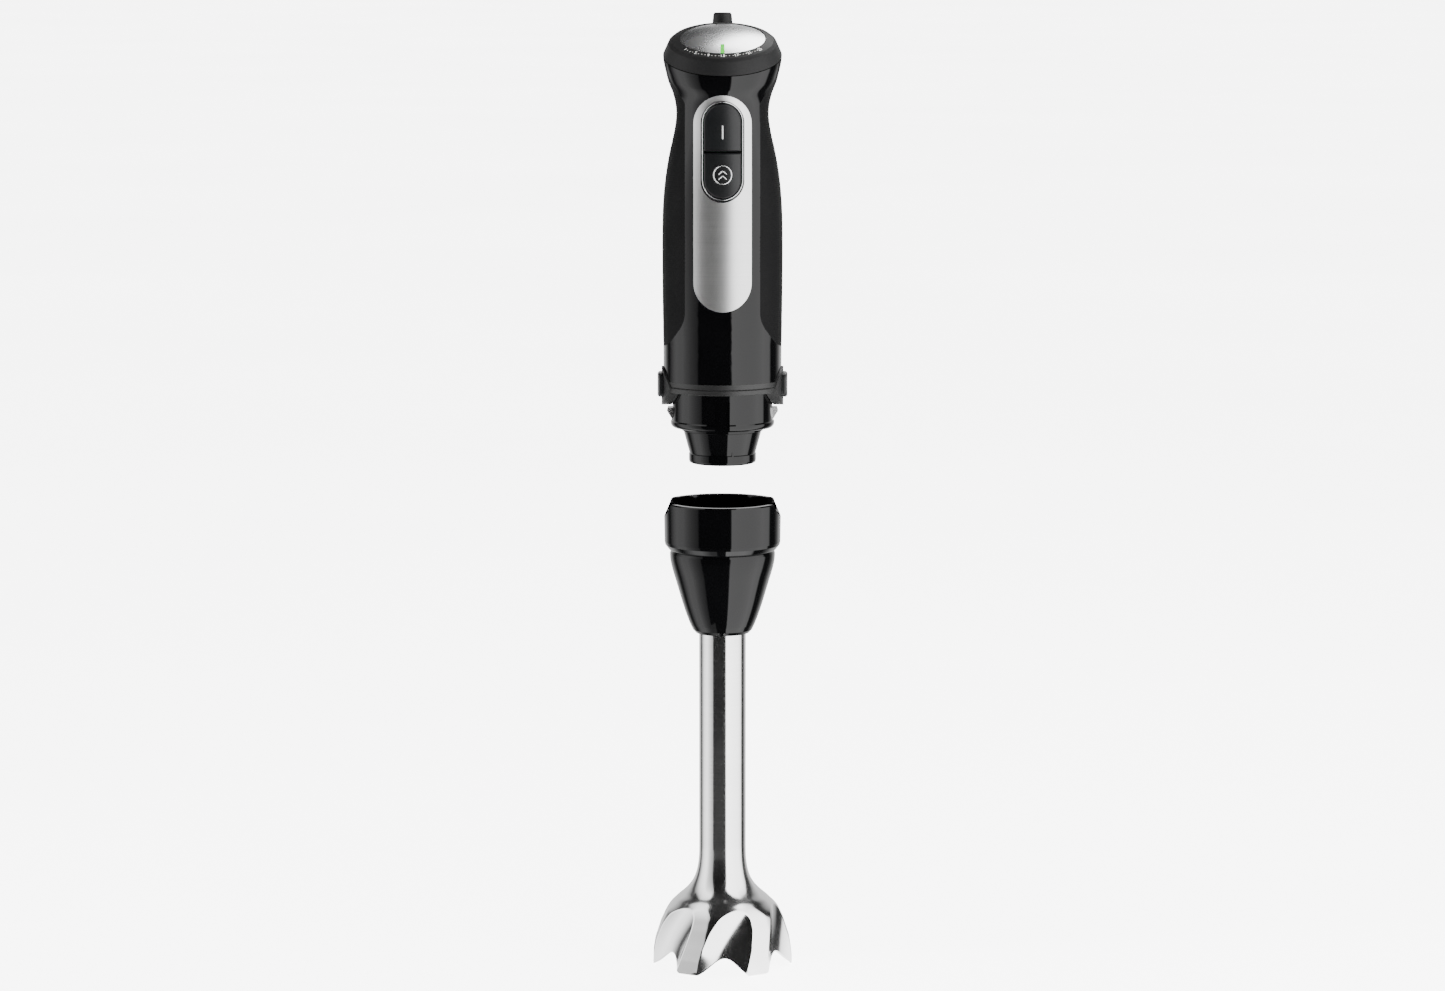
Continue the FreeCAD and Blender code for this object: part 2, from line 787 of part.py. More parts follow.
def coupling_nose():
    cone = s.nose_cone_radius.value
    outline = straight([
        (s.nose_throat_radius, s.nose_low), (s.nose_band_radius - 1.2, s.nose_low),
        (s.nose_band_radius - 0.3, s.nose_low + 0.5), (s.nose_band_radius, s.nose_low + 1.4),
        (s.nose_band_radius, s.nose_band_high), (s.nose_cone_low_radius, s.nose_band_high + 0.3),
        (s.nose_cone_radius, s.nose_cone_high), (cone + 0.7, s.nose_cone_high + 0.3),
        (cone + 0.9, s.nose_shoulder), (s.nose_radius - 2.0, s.nose_shoulder)])
    corner = s.nose_radius.value - 2.0
    lip = s.nose_lip_radius.value
    low = s.nose_shoulder.value
    outline.append(Part.Arc(Vector(corner, 0, low), Vector(lip - 0.6, 0, low + 0.7),
                            Vector(lip, 0, low + 2.2)).toShape())
    outline += straight([
        (lip, low + 2.2), (lip, low + 3.0), (s.nose_radius, low + 3.6),
        (s.nose_radius, s.nose_top), (s.nose_bore_radius, s.nose_top),
        (s.nose_bore_radius, s.nose_floor_high), (s.seal_radius, s.nose_floor_high),
        (s.seal_radius, s.nose_floor_low), (s.nose_throat_radius, s.nose_floor_low - 4.0),
        (s.nose_throat_radius, s.nose_low)])
    nose = spun(outline)
    reach = s.nose_band_radius + 0.3
    ribs, slots = [], []
    for turn in (0, 180):
        for angle in (-s.nose_rib_angle.value, s.nose_rib_angle.value):
            rib = slab((-0.45, 0.45), (-reach.value, -15.0), (s.nose_band_high, s.nose_rib_high))
            rib.rotate(Vector(0, 0, 0), Z_AXIS, angle + turn)
            ribs.append(rib)
        half = s.slot_width.value / 2 + 0.35
        slot = slab((-half, half), (-30, -s.nose_radius.value + 1.6), (200, s.collar_low - 3.5))
        slot.rotate(Vector(0, 0, 0), Z_AXIS, turn)
        slots.append(slot)
    nose = nose.fuse(ribs).cut(slots)
    windows = []
    for side in (1, -1):
        windows.append(release_prism(side, s.release_play.value))
        half = s.hook_half_width.value + 0.4
        window = slab((s.nose_bore_radius - 3.6, 30), (-half, half),
                      (s.hook_low - 0.5, s.release_high + 0.4))
        if side < 0:
            window.rotate(Vector(0, 0, 0), Z_AXIS, 180)
        windows.append(window)
    return nose.cut(windows).removeSplitter()


keep("coupling_nose", formed("coupling_nose", coupling_nose()))
keep("nose_seal", turned("nose_seal", [
    (s.shaft_radius + s.running_gap, s.nose_floor_low),
    (s.seal_radius, s.nose_floor_low), (s.seal_radius, s.nose_floor_high),
    (s.shaft_radius + s.running_gap, s.nose_floor_high)]))

# ---------------------------------------------------------------- motor, fixed parts
lower_bracket = turned("lower_bracket", [
    (s.bearing_radius, s.bracket_hub_low), (s.bracket_hub_radius, s.bracket_hub_low),
    (s.bracket_hub_radius, s.bracket_low), (s.bracket_radius, s.bracket_low),
    (s.bracket_radius, s.bracket_high), (s.shaft_radius + 2.0, s.bracket_high),
    (s.shaft_radius + 2.0, s.bearing_high), (s.bearing_radius, s.bearing_high)])
carve(lower_bracket, "lower_bracket_air", rectangle((14.0, 20.0), (-3.0, 3.0)),
      s.bracket_low - 1.0, s.bracket_high + 1.0, 6)
lower_bracket_bored = cut(
    "lower_bracket_bored", lower_bracket,
    cylinder("lower_screw_hole_rear", s.screw_radius, s.bracket_low - 1, s.bracket_high + 1,
             0, s.screw_offset),
    cylinder("lower_screw_hole_front", s.screw_radius, s.bracket_low - 1, s.bracket_high + 1,
             0, -s.screw_offset))
keep("lower_bracket", lower_bracket_bored)
keep("lower_motor_mount", turned("lower_motor_mount", [
    (s.bracket_radius, s.bracket_low), (s.mount_radius, s.bracket_low),
    (s.mount_radius, s.bracket_high), (s.bracket_radius, s.bracket_high)]))
keep("lower_bearing", turned("lower_bearing", [
    (s.shaft_radius + s.running_gap, s.bearing_low), (s.bearing_radius, s.bearing_low),
    (s.bearing_radius, s.bearing_high), (s.shaft_radius + s.running_gap, s.bearing_high)]))


def pole_pair(radius, half_width, low, high):
    return [slab((13.0, radius), (-half_width, half_width), (low, high)),
            slab((-radius, -13.0), (-half_width, half_width), (low, high))]


def stator_core():
    low, high = s.stator_low.value, s.stator_high.value
    core = post(s.stator_radius, low, high).cut(post(s.stator_ring_radius, low, high))
    core = core.fuse(pole_pair(19.5, 7.0, low, high))
    core = core.cut(post(s.stator_bore_radius, low, high))
    holes = [post(s.screw_radius, low, high, 0, y) for y in both_sides(s.screw_offset)]
    return core.cut(holes).removeSplitter()


def field_coils():
    low, high = s.stator_low.value, s.stator_high.value
    over = s.winding_overhang.value
    tube = post(s.stator_ring_radius - 0.15, low - over, high + over).cut(
        post(s.stator_bore_radius + 0.5, low - over, high + over))
    sides = [slab((5.0, 24.0), (-13.5, 13.5), (low - over, high + over)),
             slab((-24.0, -5.0), (-13.5, 13.5), (low - over, high + over))]
    coils = [tube.common(side) for side in sides]
    passage = pole_pair(24.0, 7.15, low - 0.15, high + 0.15)
    return Part.makeCompound([c.cut(passage) for c in coils])


keep("stator_core", formed("stator_core", stator_core()))
keep("field_coils", formed("field_coils", field_coils()))


def upper_bracket():
    """A bar across the motor with a hub for the upper bearing."""
    low, high = s.upper_plate_low.value, s.upper_plate_high.value
    bar = post(s.bracket_radius, low, high).common(slab((-11, 11), (-30, 30), (low, high)))
    bar = bar.fuse(post(9.0, low - 2.0, high + 3.5))
    holes = [post(s.screw_radius, low, high, 0, y) for y in both_sides(s.screw_offset)]
    return bar.cut([post(s.upper_bearing_radius, low - 3, high + 4)] + holes).removeSplitter()


keep("upper_bracket", formed("upper_bracket", upper_bracket()))
keep("upper_bearing", turned("upper_bearing", [
    (s.shaft_radius + s.running_gap, s.upper_plate_low - 2.0),
    (s.upper_bearing_radius, s.upper_plate_low - 2.0),
    (s.upper_bearing_radius, s.upper_plate_high + 3.5),
    (s.shaft_radius + s.running_gap, s.upper_plate_high + 3.5)]))
keep("upper_motor_mount", turned("upper_motor_mount", [
    (s.bracket_radius + 0.1, s.upper_plate_low - 0.5), (s.mount_radius, s.upper_plate_low - 0.5),
    (s.mount_radius, s.upper_plate_high), (s.bracket_radius + 0.1, s.upper_plate_high)]))

keep("motor_screws", formed("motor_screws", Part.makeCompound([
    post(s.screw_radius, s.bracket_low, s.upper_plate_high + 1.2, 0, y).fuse(
        post(s.screw_radius + 0.9, s.upper_plate_high, s.upper_plate_high + 1.6, 0, y * 0.985))
    for y in both_sides(s.screw_offset)])))


def brush_set():
    """The two brush holders, the carbon brushes in them and the springs behind the brushes."""
    middle = (s.commutator_low.value + s.commutator_high.value) / 2
    holders, brushes, springs = [], [], []
    for side in (1, -1):
        holder = slab((7.4, 21.0), (-3.6, 3.6), (middle - 3.6, middle + 3.6))
        holder = holder.cut(slab((7.0, 19.8), (-2.5, 2.5), (middle - 2.5, middle + 2.5)))
        arm = slab((14.0, 20.0), (-3.6, 3.6), (middle + 3.6, s.upper_plate_low))
        brush = slab((5.5, 14.0), (-2.4, 2.4), (middle - 2.4, middle + 2.4))
        brush = brush.cut(post(s.commutator_radius + 0.1, middle - 5, middle + 5))
        spring = coil(1.7, 0.3, 5.8, 5)
        spring.rotate(Vector(0, 0, 0), Y_AXIS, 90)
        spring.translate(Vector(14.0, 0, middle))
        for group, solid in ((holders, holder.fuse(arm).removeSplitter()),
                             (brushes, brush), (springs, spring)):
            if side < 0:
                solid.rotate(Vector(0, 0, 0), Z_AXIS, 180)
            group.append(solid)
    return holders, brushes, springs


for name, solids in zip(("brush_holders", "carbon_brushes", "brush_springs"), brush_set()):
    keep(name, formed(name, Part.makeCompound(solids)))

# ---------------------------------------------------------------- rotor
keep("motor_shaft", cylinder("motor_shaft", s.shaft_radius, s.rotor_low, s.rotor_high))
armature = turned("armature_core", [
    (s.shaft_radius, s.stator_low), (s.armature_radius, s.stator_low),
    (s.armature_radius, s.stator_high), (s.shaft_radius, s.stator_high)])
carve(armature, "armature_slot", rectangle((8.5, 14.0), (-1.1, 1.1)),
      s.stator_low - 1, s.stator_high + 1, 12)
keep("armature_core", armature)
winding = turned("armature_winding", [
    (s.shaft_radius + 1.5, s.stator_low - 5.5), (11.5, s.stator_low - 5.5), (12.2, s.stator_low - 3.0),
    (12.2, s.stator_low - 0.1), (s.shaft_radius + 1.5, s.stator_low - 0.1)])
keep("armature_winding", winding)
keep("upper_winding", turned("upper_winding", [
    (s.shaft_radius + 1.5, s.stator_high + 0.1), (12.2, s.stator_high + 0.1),
    (12.2, s.stator_high + 3.0), (11.5, s.stator_high + 5.5), (s.shaft_radius + 1.5, s.stator_high + 5.5)]))
commutator = turned("commutator", [
    (s.shaft_radius, s.commutator_low), (s.commutator_radius, s.commutator_low),
    (s.commutator_radius, s.commutator_high), (s.shaft_radius, s.commutator_high)])
carve(commutator, "commutator_gap", rectangle((5.0, 8.0), (-0.2, 0.2)),
      s.commutator_low - 1, s.commutator_high + 1, 12)
keep("commutator", commutator)
fan = turned("cooling_fan", [
    (s.shaft_radius, s.fan_low), (5.5, s.fan_low), (5.5, s.fan_high - 1.2),
    (s.fan_radius, s.fan_high - 1.2), (s.fan_radius, s.fan_high), (s.shaft_radius, s.fan_high)])
grow(fan, "cooling_fan_blade", [(5.0, -0.5), (s.fan_radius - 0.5, 1.5), (s.fan_radius - 0.5, 2.5),
                                (5.0, 0.5)], s.fan_low, s.fan_high - 0.6, 11)
keep("cooling_fan", fan)
coupling = turned("drive_coupling", [
    (s.shaft_radius, s.rotor_low), (s.shaft_radius, s.coupling_high),
    (s.coupling_radius - 0.6, s.coupling_high), (s.coupling_radius, s.coupling_high - 0.6),
    (s.coupling_radius, s.coupling_low), (0, s.coupling_low), (0, s.rotor_low)])
carve(coupling, "coupling_hex", hexagon(s.coupling_hex), s.coupling_low - 1.0, s.rotor_low - 0.5)
keep("drive_coupling", coupling)

# ---------------------------------------------------------------- electrics
keep("circuit_board", block("circuit_board", (-s.board_half_width, s.board_half_width),
                            (s.board_front, s.board_back),
                            (s.upper_plate_high + 7.5, s.waist_height + 12.0)))


def switch_and_spring(height, radius):
    """A push switch on the board and the return spring between it and its button."""
    button_back = -(radius.value - s.button_depth.value + s.button_proud.value)
    front = button_back + 6.0
    body = slab((-3.2, 3.2), (front, s.board_front), (height - 3.2, height + 3.2))
    spring = coil(2.2, 0.3, 5.9, 5)
    spring.rotate(Vector(0, 0, 0), X_AXIS, 90)
    spring.translate(Vector(0, front, height.value))
    return body, spring


for name, height, radius in (("start", s.start_height, s.start_face_radius),
                             ("turbo", s.turbo_height, s.turbo_face_radius)):
    switch, spring = switch_and_spring(height, radius)
    keep(f"{name}_switch", formed(f"{name}_switch", switch))
    keep(f"{name}_button_spring", formed(f"{name}_button_spring", spring))
keep("suppression_capacitor", block(
    "suppression_capacitor", (-s.capacitor_half_width, s.capacitor_half_width),
    (s.board_back, s.capacitor_back), (s.capacitor_low, s.capacitor_high)))

# ---------------------------------------------------------------- blending shaft


def taper_curve():
    """The socket's outer taper from its neck up to the notch under the rim cylinder."""
    step = s.socket_step.value
    return [(15.7, step - 40.4), (16.9, step - 37.4), (19.4, step - 30.1), (22.9, step - 18.3),
            (24.6, step - 12.5), (25.5, step - 7.8), (25.6, step - 5.2)]


def socket_housing():
    rim, step = s.socket_rim.value, s.socket_step.value
    outer = s.socket_radius.value
    curve = taper_curve()
    outline = straight([
        (s.tube_radius, s.socket_low), (s.socket_neck_radius, s.socket_low),
        (s.socket_neck_radius + 1.5, s.socket_low + 1.6), curve[0]])
    outline.append(through(curve))
    outline += straight([
        curve[-1], (25.2, step - 4.2), (26.2, step - 3.2), (outer - 0.6, step - 1.0),
        (outer - 0.3, step + 0.4), (outer, rim - 0.6), (outer - 0.5, rim),
        (s.socket_bore_radius + 0.4, rim), (s.socket_bore_radius, rim - 0.5),
        (s.socket_bore_radius, s.socket_floor), (s.socket_cone_radius + 0.5, s.socket_floor),
        (s.socket_cone_radius, s.socket_floor - 0.6), (s.socket_cone_low_radius, 198.0),
        (s.socket_cone_low_radius, s.socket_well_low), (s.upper_bush_radius, s.socket_well_low),
        (s.upper_bush_radius, s.tube_high), (s.tube_radius, s.tube_high),
        (s.tube_radius, s.socket_low)])
    socket = spun(outline)
    scoops = []
    for side in (1, -1):
        scoop = pad_prism(side, s.scoop_play.value)
        scoop.translate(Vector(0, 0, -s.shaft_travel.value))
        half = s.groove_half_width.value
        groove = slab((20, 40), (-half, half), (s.groove_low, s.socket_rim + 5))
        if side < 0:
            groove.rotate(Vector(0, 0, 0), Z_AXIS, 180)
        groove = groove.common(post(s.groove_radius, s.groove_low, s.socket_rim + 5))
        scoops += [scoop, groove]
    keys = []
    for turn in (0, 180):
        half = s.slot_width.value / 2
        key = slab((-half, half), (-s.socket_bore_radius.value - 0.5, -s.nose_radius.value + 1.1),
                   (s.socket_floor - 0.5, s.socket_rim - 6.0))
        key.rotate(Vector(0, 0, 0), Z_AXIS, turn)
        keys.append(key)
    return socket.cut(scoops).fuse(keys).removeSplitter()


socket_shape = socket_housing()
keep("socket_rim", formed("socket_rim", socket_shape.common(
    slab((-60, 60), (-60, 60), (s.socket_floor, s.socket_rim + 10)))))
keep("socket_housing", formed("socket_housing", socket_shape.common(
    slab((-60, 60), (-60, 60), (s.socket_low - 10, s.socket_floor)))))
keep("shaft_tube", cut("shaft_tube",
                       cylinder("tube_blank", s.tube_radius, s.tube_low, s.tube_high),
                       cylinder("tube_bore", s.tube_radius - s.tube_wall, s.tube_low - 1,
                                s.tube_high + 1)))
BELL_SIDE = (  # radius and height down the bell's side, before the scallops
    (11.45, 57.9), (11.55, 53.5), (12.26, 47.6), (14.2, 41.7), (18.9, 35.8), (25.2, 29.9),
    (28.85, 24.0), (31.0, 18.2), (32.8, 12.3), (33.8, 6.4), (34.0, 0.0))


def bell_form(inset):
    """The bell's turned form, drawn in by inset."""
    side = [(radius - inset, height - (inset if 20 < height < 50 else 0))
            for radius, height in BELL_SIDE]
    side[-1] = (side[-1][0], 0)
    run = straight([side[-1], (0, 0), (0, side[0][1]), side[0]])
    return spun([through(side)] + run)


def bell_scallops(inset):
    """Six leaning cylinders that hollow the bell's flanks between its feet."""
    radius = s.scallop_radius.value + inset
    cutters = []
    for sector in range(6):
        cutter = Part.makeCylinder(radius, 120, Vector(0, 0, -60))
        cutter.rotate(Vector(0, 0, 0), X_AXIS, -s.scallop_tilt.value)
        cutter.translate(Vector(0, -(s.scallop_reach.value + s.scallop_radius.value), 6.0))
        cutter.rotate(Vector(0, 0, 0), Z_AXIS, 60 * sector)
        cutters.append(cutter)
    return cutters


def bell_arches():
    """Six radial tunnels that raise the bell's edge between its feet."""
    height = s.bell_arch_height.value
    half = s.bell_radius.value * math.sin(math.radians(30 - s.foot_half_angle.value)) * 0.93
    tunnels = []
    for sector in range(6):
        arch = Part.Arc(Vector(-half, -45, 0), Vector(0, -45, height),
                        Vector(half, -45, 0)).toShape()
        base = Part.makePolygon([Vector(half, -45, 0), Vector(half, -45, -2),
                                 Vector(-half, -45, -2), Vector(-half, -45, 0)])
        tunnel = Part.Face(Part.Wire([arch] + base.Edges)).extrude(Vector(0, 30, 0))
        tunnel.rotate(Vector(0, 0, 0), Z_AXIS, 60 * sector)
        tunnels.append(tunnel)
    return tunnels


def bell_guard():
    wall = s.bell_wall.value
    outer = bell_form(0).cut(bell_scallops(0))
    inner = bell_form(wall).cut(bell_scallops(wall))
    neck = post(s.bell_neck_radius, 42, s.tube_low)
    bell = outer.cut(inner).fuse(outer.common(neck))
    bell = bell.cut([post(s.lower_bush_radius, 20, s.tube_low + 1)] + bell_arches())
    return bell.removeSplitter()


keep("bell_guard", formed("bell_guard", bell_guard()))
bush_bore = s.spindle_radius + s.bush_gap
keep("upper_bush", turned("upper_bush", [
    (bush_bore, s.upper_bush_low), (s.upper_bush_radius, s.upper_bush_low),
    (s.upper_bush_radius, s.upper_bush_high), (bush_bore, s.upper_bush_high)]))
keep("lower_bush", turned("lower_bush", [
    (bush_bore, s.lower_bush_low + 4.0), (s.lower_bush_radius, s.lower_bush_low + 4.0),
    (s.lower_bush_radius, s.lower_bush_high), (bush_bore, s.lower_bush_high)]))
keep("shaft_seal", turned("shaft_seal", [
    (bush_bore, s.lower_bush_low), (s.lower_bush_radius, s.lower_bush_low),
    (s.lower_bush_radius, s.lower_bush_low + 4.0), (bush_bore, s.lower_bush_low + 4.0)]))

# ---------------------------------------------------------------- blade spindle
keep("spindle", cylinder("spindle", s.spindle_radius, s.spindle_low, s.spindle_high))
dog = turned("drive_dog", [
    (s.spindle_radius, s.dog_low), (4.3, s.dog_low), (4.3, s.dog_low + 1.0),
    (s.spindle_radius, s.dog_low + 1.0)])
grow(dog, "drive_dog_hex", hexagon(s.dog_hex), s.dog_low + 1.0, s.dog_high)
carve(dog, "drive_dog_bore", [(3.0, -3.0), (3.0, 3.0), (-3.0, 3.0), (-3.0, -3.0)],
      s.dog_low - 1.0, s.spindle_high)
keep("drive_dog", dog)


def blade():
    """Two opposed cutting wings, one pitched up and one down, on a round hub."""
    height, thick = s.blade_height.value, s.blade_thickness.value
    tip, hub = s.blade_radius.value, s.blade_hub_radius.value
    steel = post(hub, height, height + thick)
    for side in (1, -1):
        corners = [Vector(0, -4.6, 0), Vector(tip - 3.0, -4.6, 0), Vector(tip, 1.5, 0),
                   Vector(tip - 2.0, 3.2, 0), Vector(0, 4.6, 0)]
        wing = Part.Face(Part.makePolygon(corners + corners[:1])).extrude(Vector(0, 0, thick))
        wing.rotate(Vector(hub - 1.5, 0, 0), Y_AXIS, -side * s.blade_pitch.value)
        wing = wing.cut(post(hub - 1.0, -20, 20))
        wing.translate(Vector(0, 0, height))
        if side < 0:
            wing.rotate(Vector(0, 0, 0), Z_AXIS, 180)
        steel = steel.fuse(wing.common(slab((-60, 60), (-60, 60), (0, 40))))
    return steel.cut(post(s.spindle_radius, 0, 40)).removeSplitter()


keep("blade", formed("blade", blade()))
keep("blade_nut", turned("blade_nut", [
    (s.spindle_radius, s.spindle_low + 0.5), (4.2, s.spindle_low + 0.5), (4.8, s.spindle_low + 1.2),
    (4.8, s.blade_height), (s.spindle_radius, s.blade_height)]))

# ---------------------------------------------------------------- checks and export


def check_and_export():
    doc.recompute()
    for item in doc.Objects:
        if "Invalid" in item.State or "Error" in item.State:
            raise RuntimeError(f"{item.Name} failed: {item.State}")
    faulty = [item.Label for item in SUB_PARTS
              if item.Shape.isNull() or not item.Shape.isValid()]
    if faulty:
        raise RuntimeError(f"no valid shape: {', '.join(faulty)}")
    os.makedirs("parts", exist_ok=True)
    for item in SUB_PARTS:
        item.Shape.exportStep(f"parts/{item.Label}.step")
        print(f"{item.Label}: {len(item.Shape.Solids)} solid, {item.Shape.Volume:.0f} mm3")


check_and_export()
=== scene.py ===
"""Looks of the immersion blender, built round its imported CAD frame."""
import json
import math

import bpy
import numpy as np
from mathutils import Matrix, Vector
from mathutils.bvhtree import BVHTree


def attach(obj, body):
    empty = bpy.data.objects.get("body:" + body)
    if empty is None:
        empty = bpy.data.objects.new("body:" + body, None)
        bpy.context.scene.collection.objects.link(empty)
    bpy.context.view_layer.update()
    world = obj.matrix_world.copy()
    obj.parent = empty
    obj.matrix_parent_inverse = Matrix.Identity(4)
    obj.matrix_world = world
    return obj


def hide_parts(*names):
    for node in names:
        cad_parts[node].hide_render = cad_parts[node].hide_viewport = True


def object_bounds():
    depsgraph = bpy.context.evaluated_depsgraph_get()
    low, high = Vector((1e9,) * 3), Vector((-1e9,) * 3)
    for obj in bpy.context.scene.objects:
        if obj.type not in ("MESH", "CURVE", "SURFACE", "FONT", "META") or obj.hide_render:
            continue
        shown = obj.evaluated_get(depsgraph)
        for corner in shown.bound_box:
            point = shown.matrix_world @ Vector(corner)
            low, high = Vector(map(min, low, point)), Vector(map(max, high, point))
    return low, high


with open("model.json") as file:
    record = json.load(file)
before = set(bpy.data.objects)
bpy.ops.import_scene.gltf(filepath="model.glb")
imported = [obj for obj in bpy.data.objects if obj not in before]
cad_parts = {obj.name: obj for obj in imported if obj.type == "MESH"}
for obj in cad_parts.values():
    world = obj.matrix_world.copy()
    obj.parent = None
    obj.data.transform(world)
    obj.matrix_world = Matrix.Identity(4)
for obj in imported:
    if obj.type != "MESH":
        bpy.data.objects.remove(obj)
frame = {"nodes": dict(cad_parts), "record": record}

CAD_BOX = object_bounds()
NODES = frame["nodes"]
MM = 0.001

# ---------------------------------------------------------------- camera and stage
# Lengths here are in metres, apart from the camera's lens and sensor.
LOOK_HEIGHT = 0.2313
VIEW_DISTANCE = 2.25
VIEW_ELEVATION = math.radians(7.7)
SENSOR_WIDTH = 36.0  # mm
LENS = 115.4         # mm
FARTHEST_SEEN = 50.0
FLOOR_SIZE = 80.0
FLOOR_LEVEL = -0.0005
WORLD_STRENGTH = 0.035
ENERGY_PER_AREA = 4.0  # Cycles divides an area light's energy by four times its area


def make_camera():
    """The photograph's viewpoint: far off, in front and slightly above."""
    data = bpy.data.cameras.new("camera")
    data.sensor_fit = "HORIZONTAL"
    data.sensor_width = SENSOR_WIDTH
    data.lens = LENS
    data.clip_end = FARTHEST_SEEN
    camera = bpy.data.objects.new("camera", data)
    bpy.context.scene.collection.objects.link(camera)
    camera.location = (0.0, -VIEW_DISTANCE * math.cos(VIEW_ELEVATION),
                       LOOK_HEIGHT + VIEW_DISTANCE * math.sin(VIEW_ELEVATION))
    camera.rotation_euler = (math.pi / 2 - VIEW_ELEVATION, 0.0, 0.0)
    bpy.context.scene.camera = camera


def heading(azimuth, radius, height):
    """A point round the blender; azimuth 0 is the front and +90 the right."""
    turn = math.radians(azimuth)
    return Vector((radius * math.sin(turn), -radius * math.cos(turn), height))


def softbox(name, azimuth, distance, size, radiance, low=0.0, aim_height=None, mirrored=False):
    """An upright rectangular light that faces the blender; mirrored ones show in gloss."""
    data = bpy.data.lights.new(name, "AREA")
    data.shape = "RECTANGLE"
    data.size, data.size_y = size
    data.energy = ENERGY_PER_AREA * size[0] * size[1] * radiance
    light = bpy.data.objects.new(name, data)
    bpy.context.scene.collection.objects.link(light)
    light.location = heading(azimuth, distance, low + size[1] / 2)
    level = light.location.z if aim_height is None else aim_height
    aim = Vector((0, 0, level)) - light.location
    light.rotation_euler = aim.to_track_quat("-Z", "Y").to_euler()
    light.visible_camera = False
    light.visible_glossy = mirrored


# What glossy surfaces see round the blender: azimuth in degrees and radiance.
SURROUND = ((-180.0, 1.3), (-146.0, 1.3), (-134.0, 0.5), (-129.0, 0.1), (-123.0, 0.12),
            (-114.0, 1.0), (-100.0, 2.8), (-82.0, 3.6), (-62.0, 1.9), (-48.0, 0.9), (-46.5, 0.02),
            (16.5, 0.02), (18.0, 6.5), (84.0, 5.2), (102.0, 3.2), (107.0, 0.06), (123.0, 0.06),
            (132.0, 0.5), (146.0, 1.3), (180.0, 1.3))
SURROUND_RADIUS = 0.6
WALL_BACK_EDGE = 124.0         # degrees from the front, on both sides
WALL_BACK_TOP = 0.66
WALL_DARK_EDGES = (-47.0, 17.0)
WALL_DARK_TOP = 1.65
WALL_RIGHT_PEAK = (62.0, 46.0)  # the peak's azimuth and its reach to either side
WALL_LEFT_PEAK = (-79.0, 34.0)
WALL_PEAK_BASE = 0.55
WALL_PEAK_RISE = 1.1
DISC_RADII = (0.02, 4.0)
DISC_LEVEL = 0.0004
DISC_LEAST = 0.06
PATCH_RADII = (0.025, 0.16)
PATCH_LEVEL = 0.0006
PATCH_LEAST = 1.2


def reflection_only(name, points, faces, material):
    """A stage surface that only glossy rays can see."""
    mesh = bpy.data.meshes.new(name)
    mesh.from_pydata(points, [], faces)
    card = bpy.data.objects.new(name, mesh)
    bpy.context.scene.collection.objects.link(card)
    card.data.materials.append(material)
    card.visible_camera = False
    card.visible_diffuse = False
    card.visible_shadow = False
    card.visible_transmission = False


def wall_top(azimuth):
    """The wall is low at the back, tall at the dark front and peaked over the side lights."""
    if abs(azimuth) > WALL_BACK_EDGE:
        return WALL_BACK_TOP
    if WALL_DARK_EDGES[0] < azimuth < WALL_DARK_EDGES[1]:
        return WALL_DARK_TOP
    middle, reach = WALL_RIGHT_PEAK if azimuth > 0 else WALL_LEFT_PEAK
    lean = (azimuth - middle) / reach
    return WALL_PEAK_BASE + WALL_PEAK_RISE * math.sqrt(max(0.0, 1.0 - lean * lean))


def glowing_band(name, near, far, least):
    """A reflection-only strip between two rows of points, nowhere dimmer than a least value."""
    faces = ring_faces(2, len(near), closed_rings=False)
    reflection_only(name, near + far, faces, surround_glow(name, least))


def surround():
    """What gloss reflects: a disc on the floor, a round wall and a lighter patch of floor."""
    turns = range(-180, 181, 2)
    inner, outer = [[heading(turn, radius, DISC_LEVEL) for turn in turns] for radius in DISC_RADII]
    glowing_band("surround_floor", inner, outer, DISC_LEAST)
    foot = [heading(turn, SURROUND_RADIUS, 0.0) for turn in turns]
    top = [heading(turn, SURROUND_RADIUS, wall_top(turn)) for turn in turns]
    glowing_band("surround_wall", foot, top, 0.0)
    turns = range(-70, -27, 3)
    inner, outer = [[heading(turn, radius, PATCH_LEVEL) for turn in turns]
                    for radius in PATCH_RADII]
    glowing_band("surround_patch", inner, outer, PATCH_LEAST)


def make_stage():
    """A wide floor just under the feet, and a dim world."""
    bpy.ops.mesh.primitive_plane_add(size=FLOOR_SIZE, location=(0, 0, FLOOR_LEVEL))
    floor = bpy.context.object
    floor.name = "floor"
    floor.data.materials.append(studio_floor())
    world = bpy.data.worlds.new("studio")
    bpy.context.scene.world = world
    world.use_nodes = True
    background = world.node_tree.nodes["Background"]
    background.inputs["Color"].default_value = (1.0, 1.0, 1.0, 1.0)
    background.inputs["Strength"].default_value = WORLD_STRENGTH


# ---------------------------------------------------------------- materials
def shader(name, colour, roughness, metallic=0.0, **sockets):
    """A Principled material with its uniform values set on the shader itself."""
    material = bpy.data.materials.new(name)
    material.use_nodes = True
    bsdf = material.node_tree.nodes["Principled BSDF"]
    bsdf.inputs["Base Color"].default_value = (*colour, 1.0)
    bsdf.inputs["Roughness"].default_value = roughness
    bsdf.inputs["Metallic"].default_value = metallic
    for socket, value in sockets.items():
        bsdf.inputs[socket.replace("_", " ")].default_value = value
    return material, bsdf


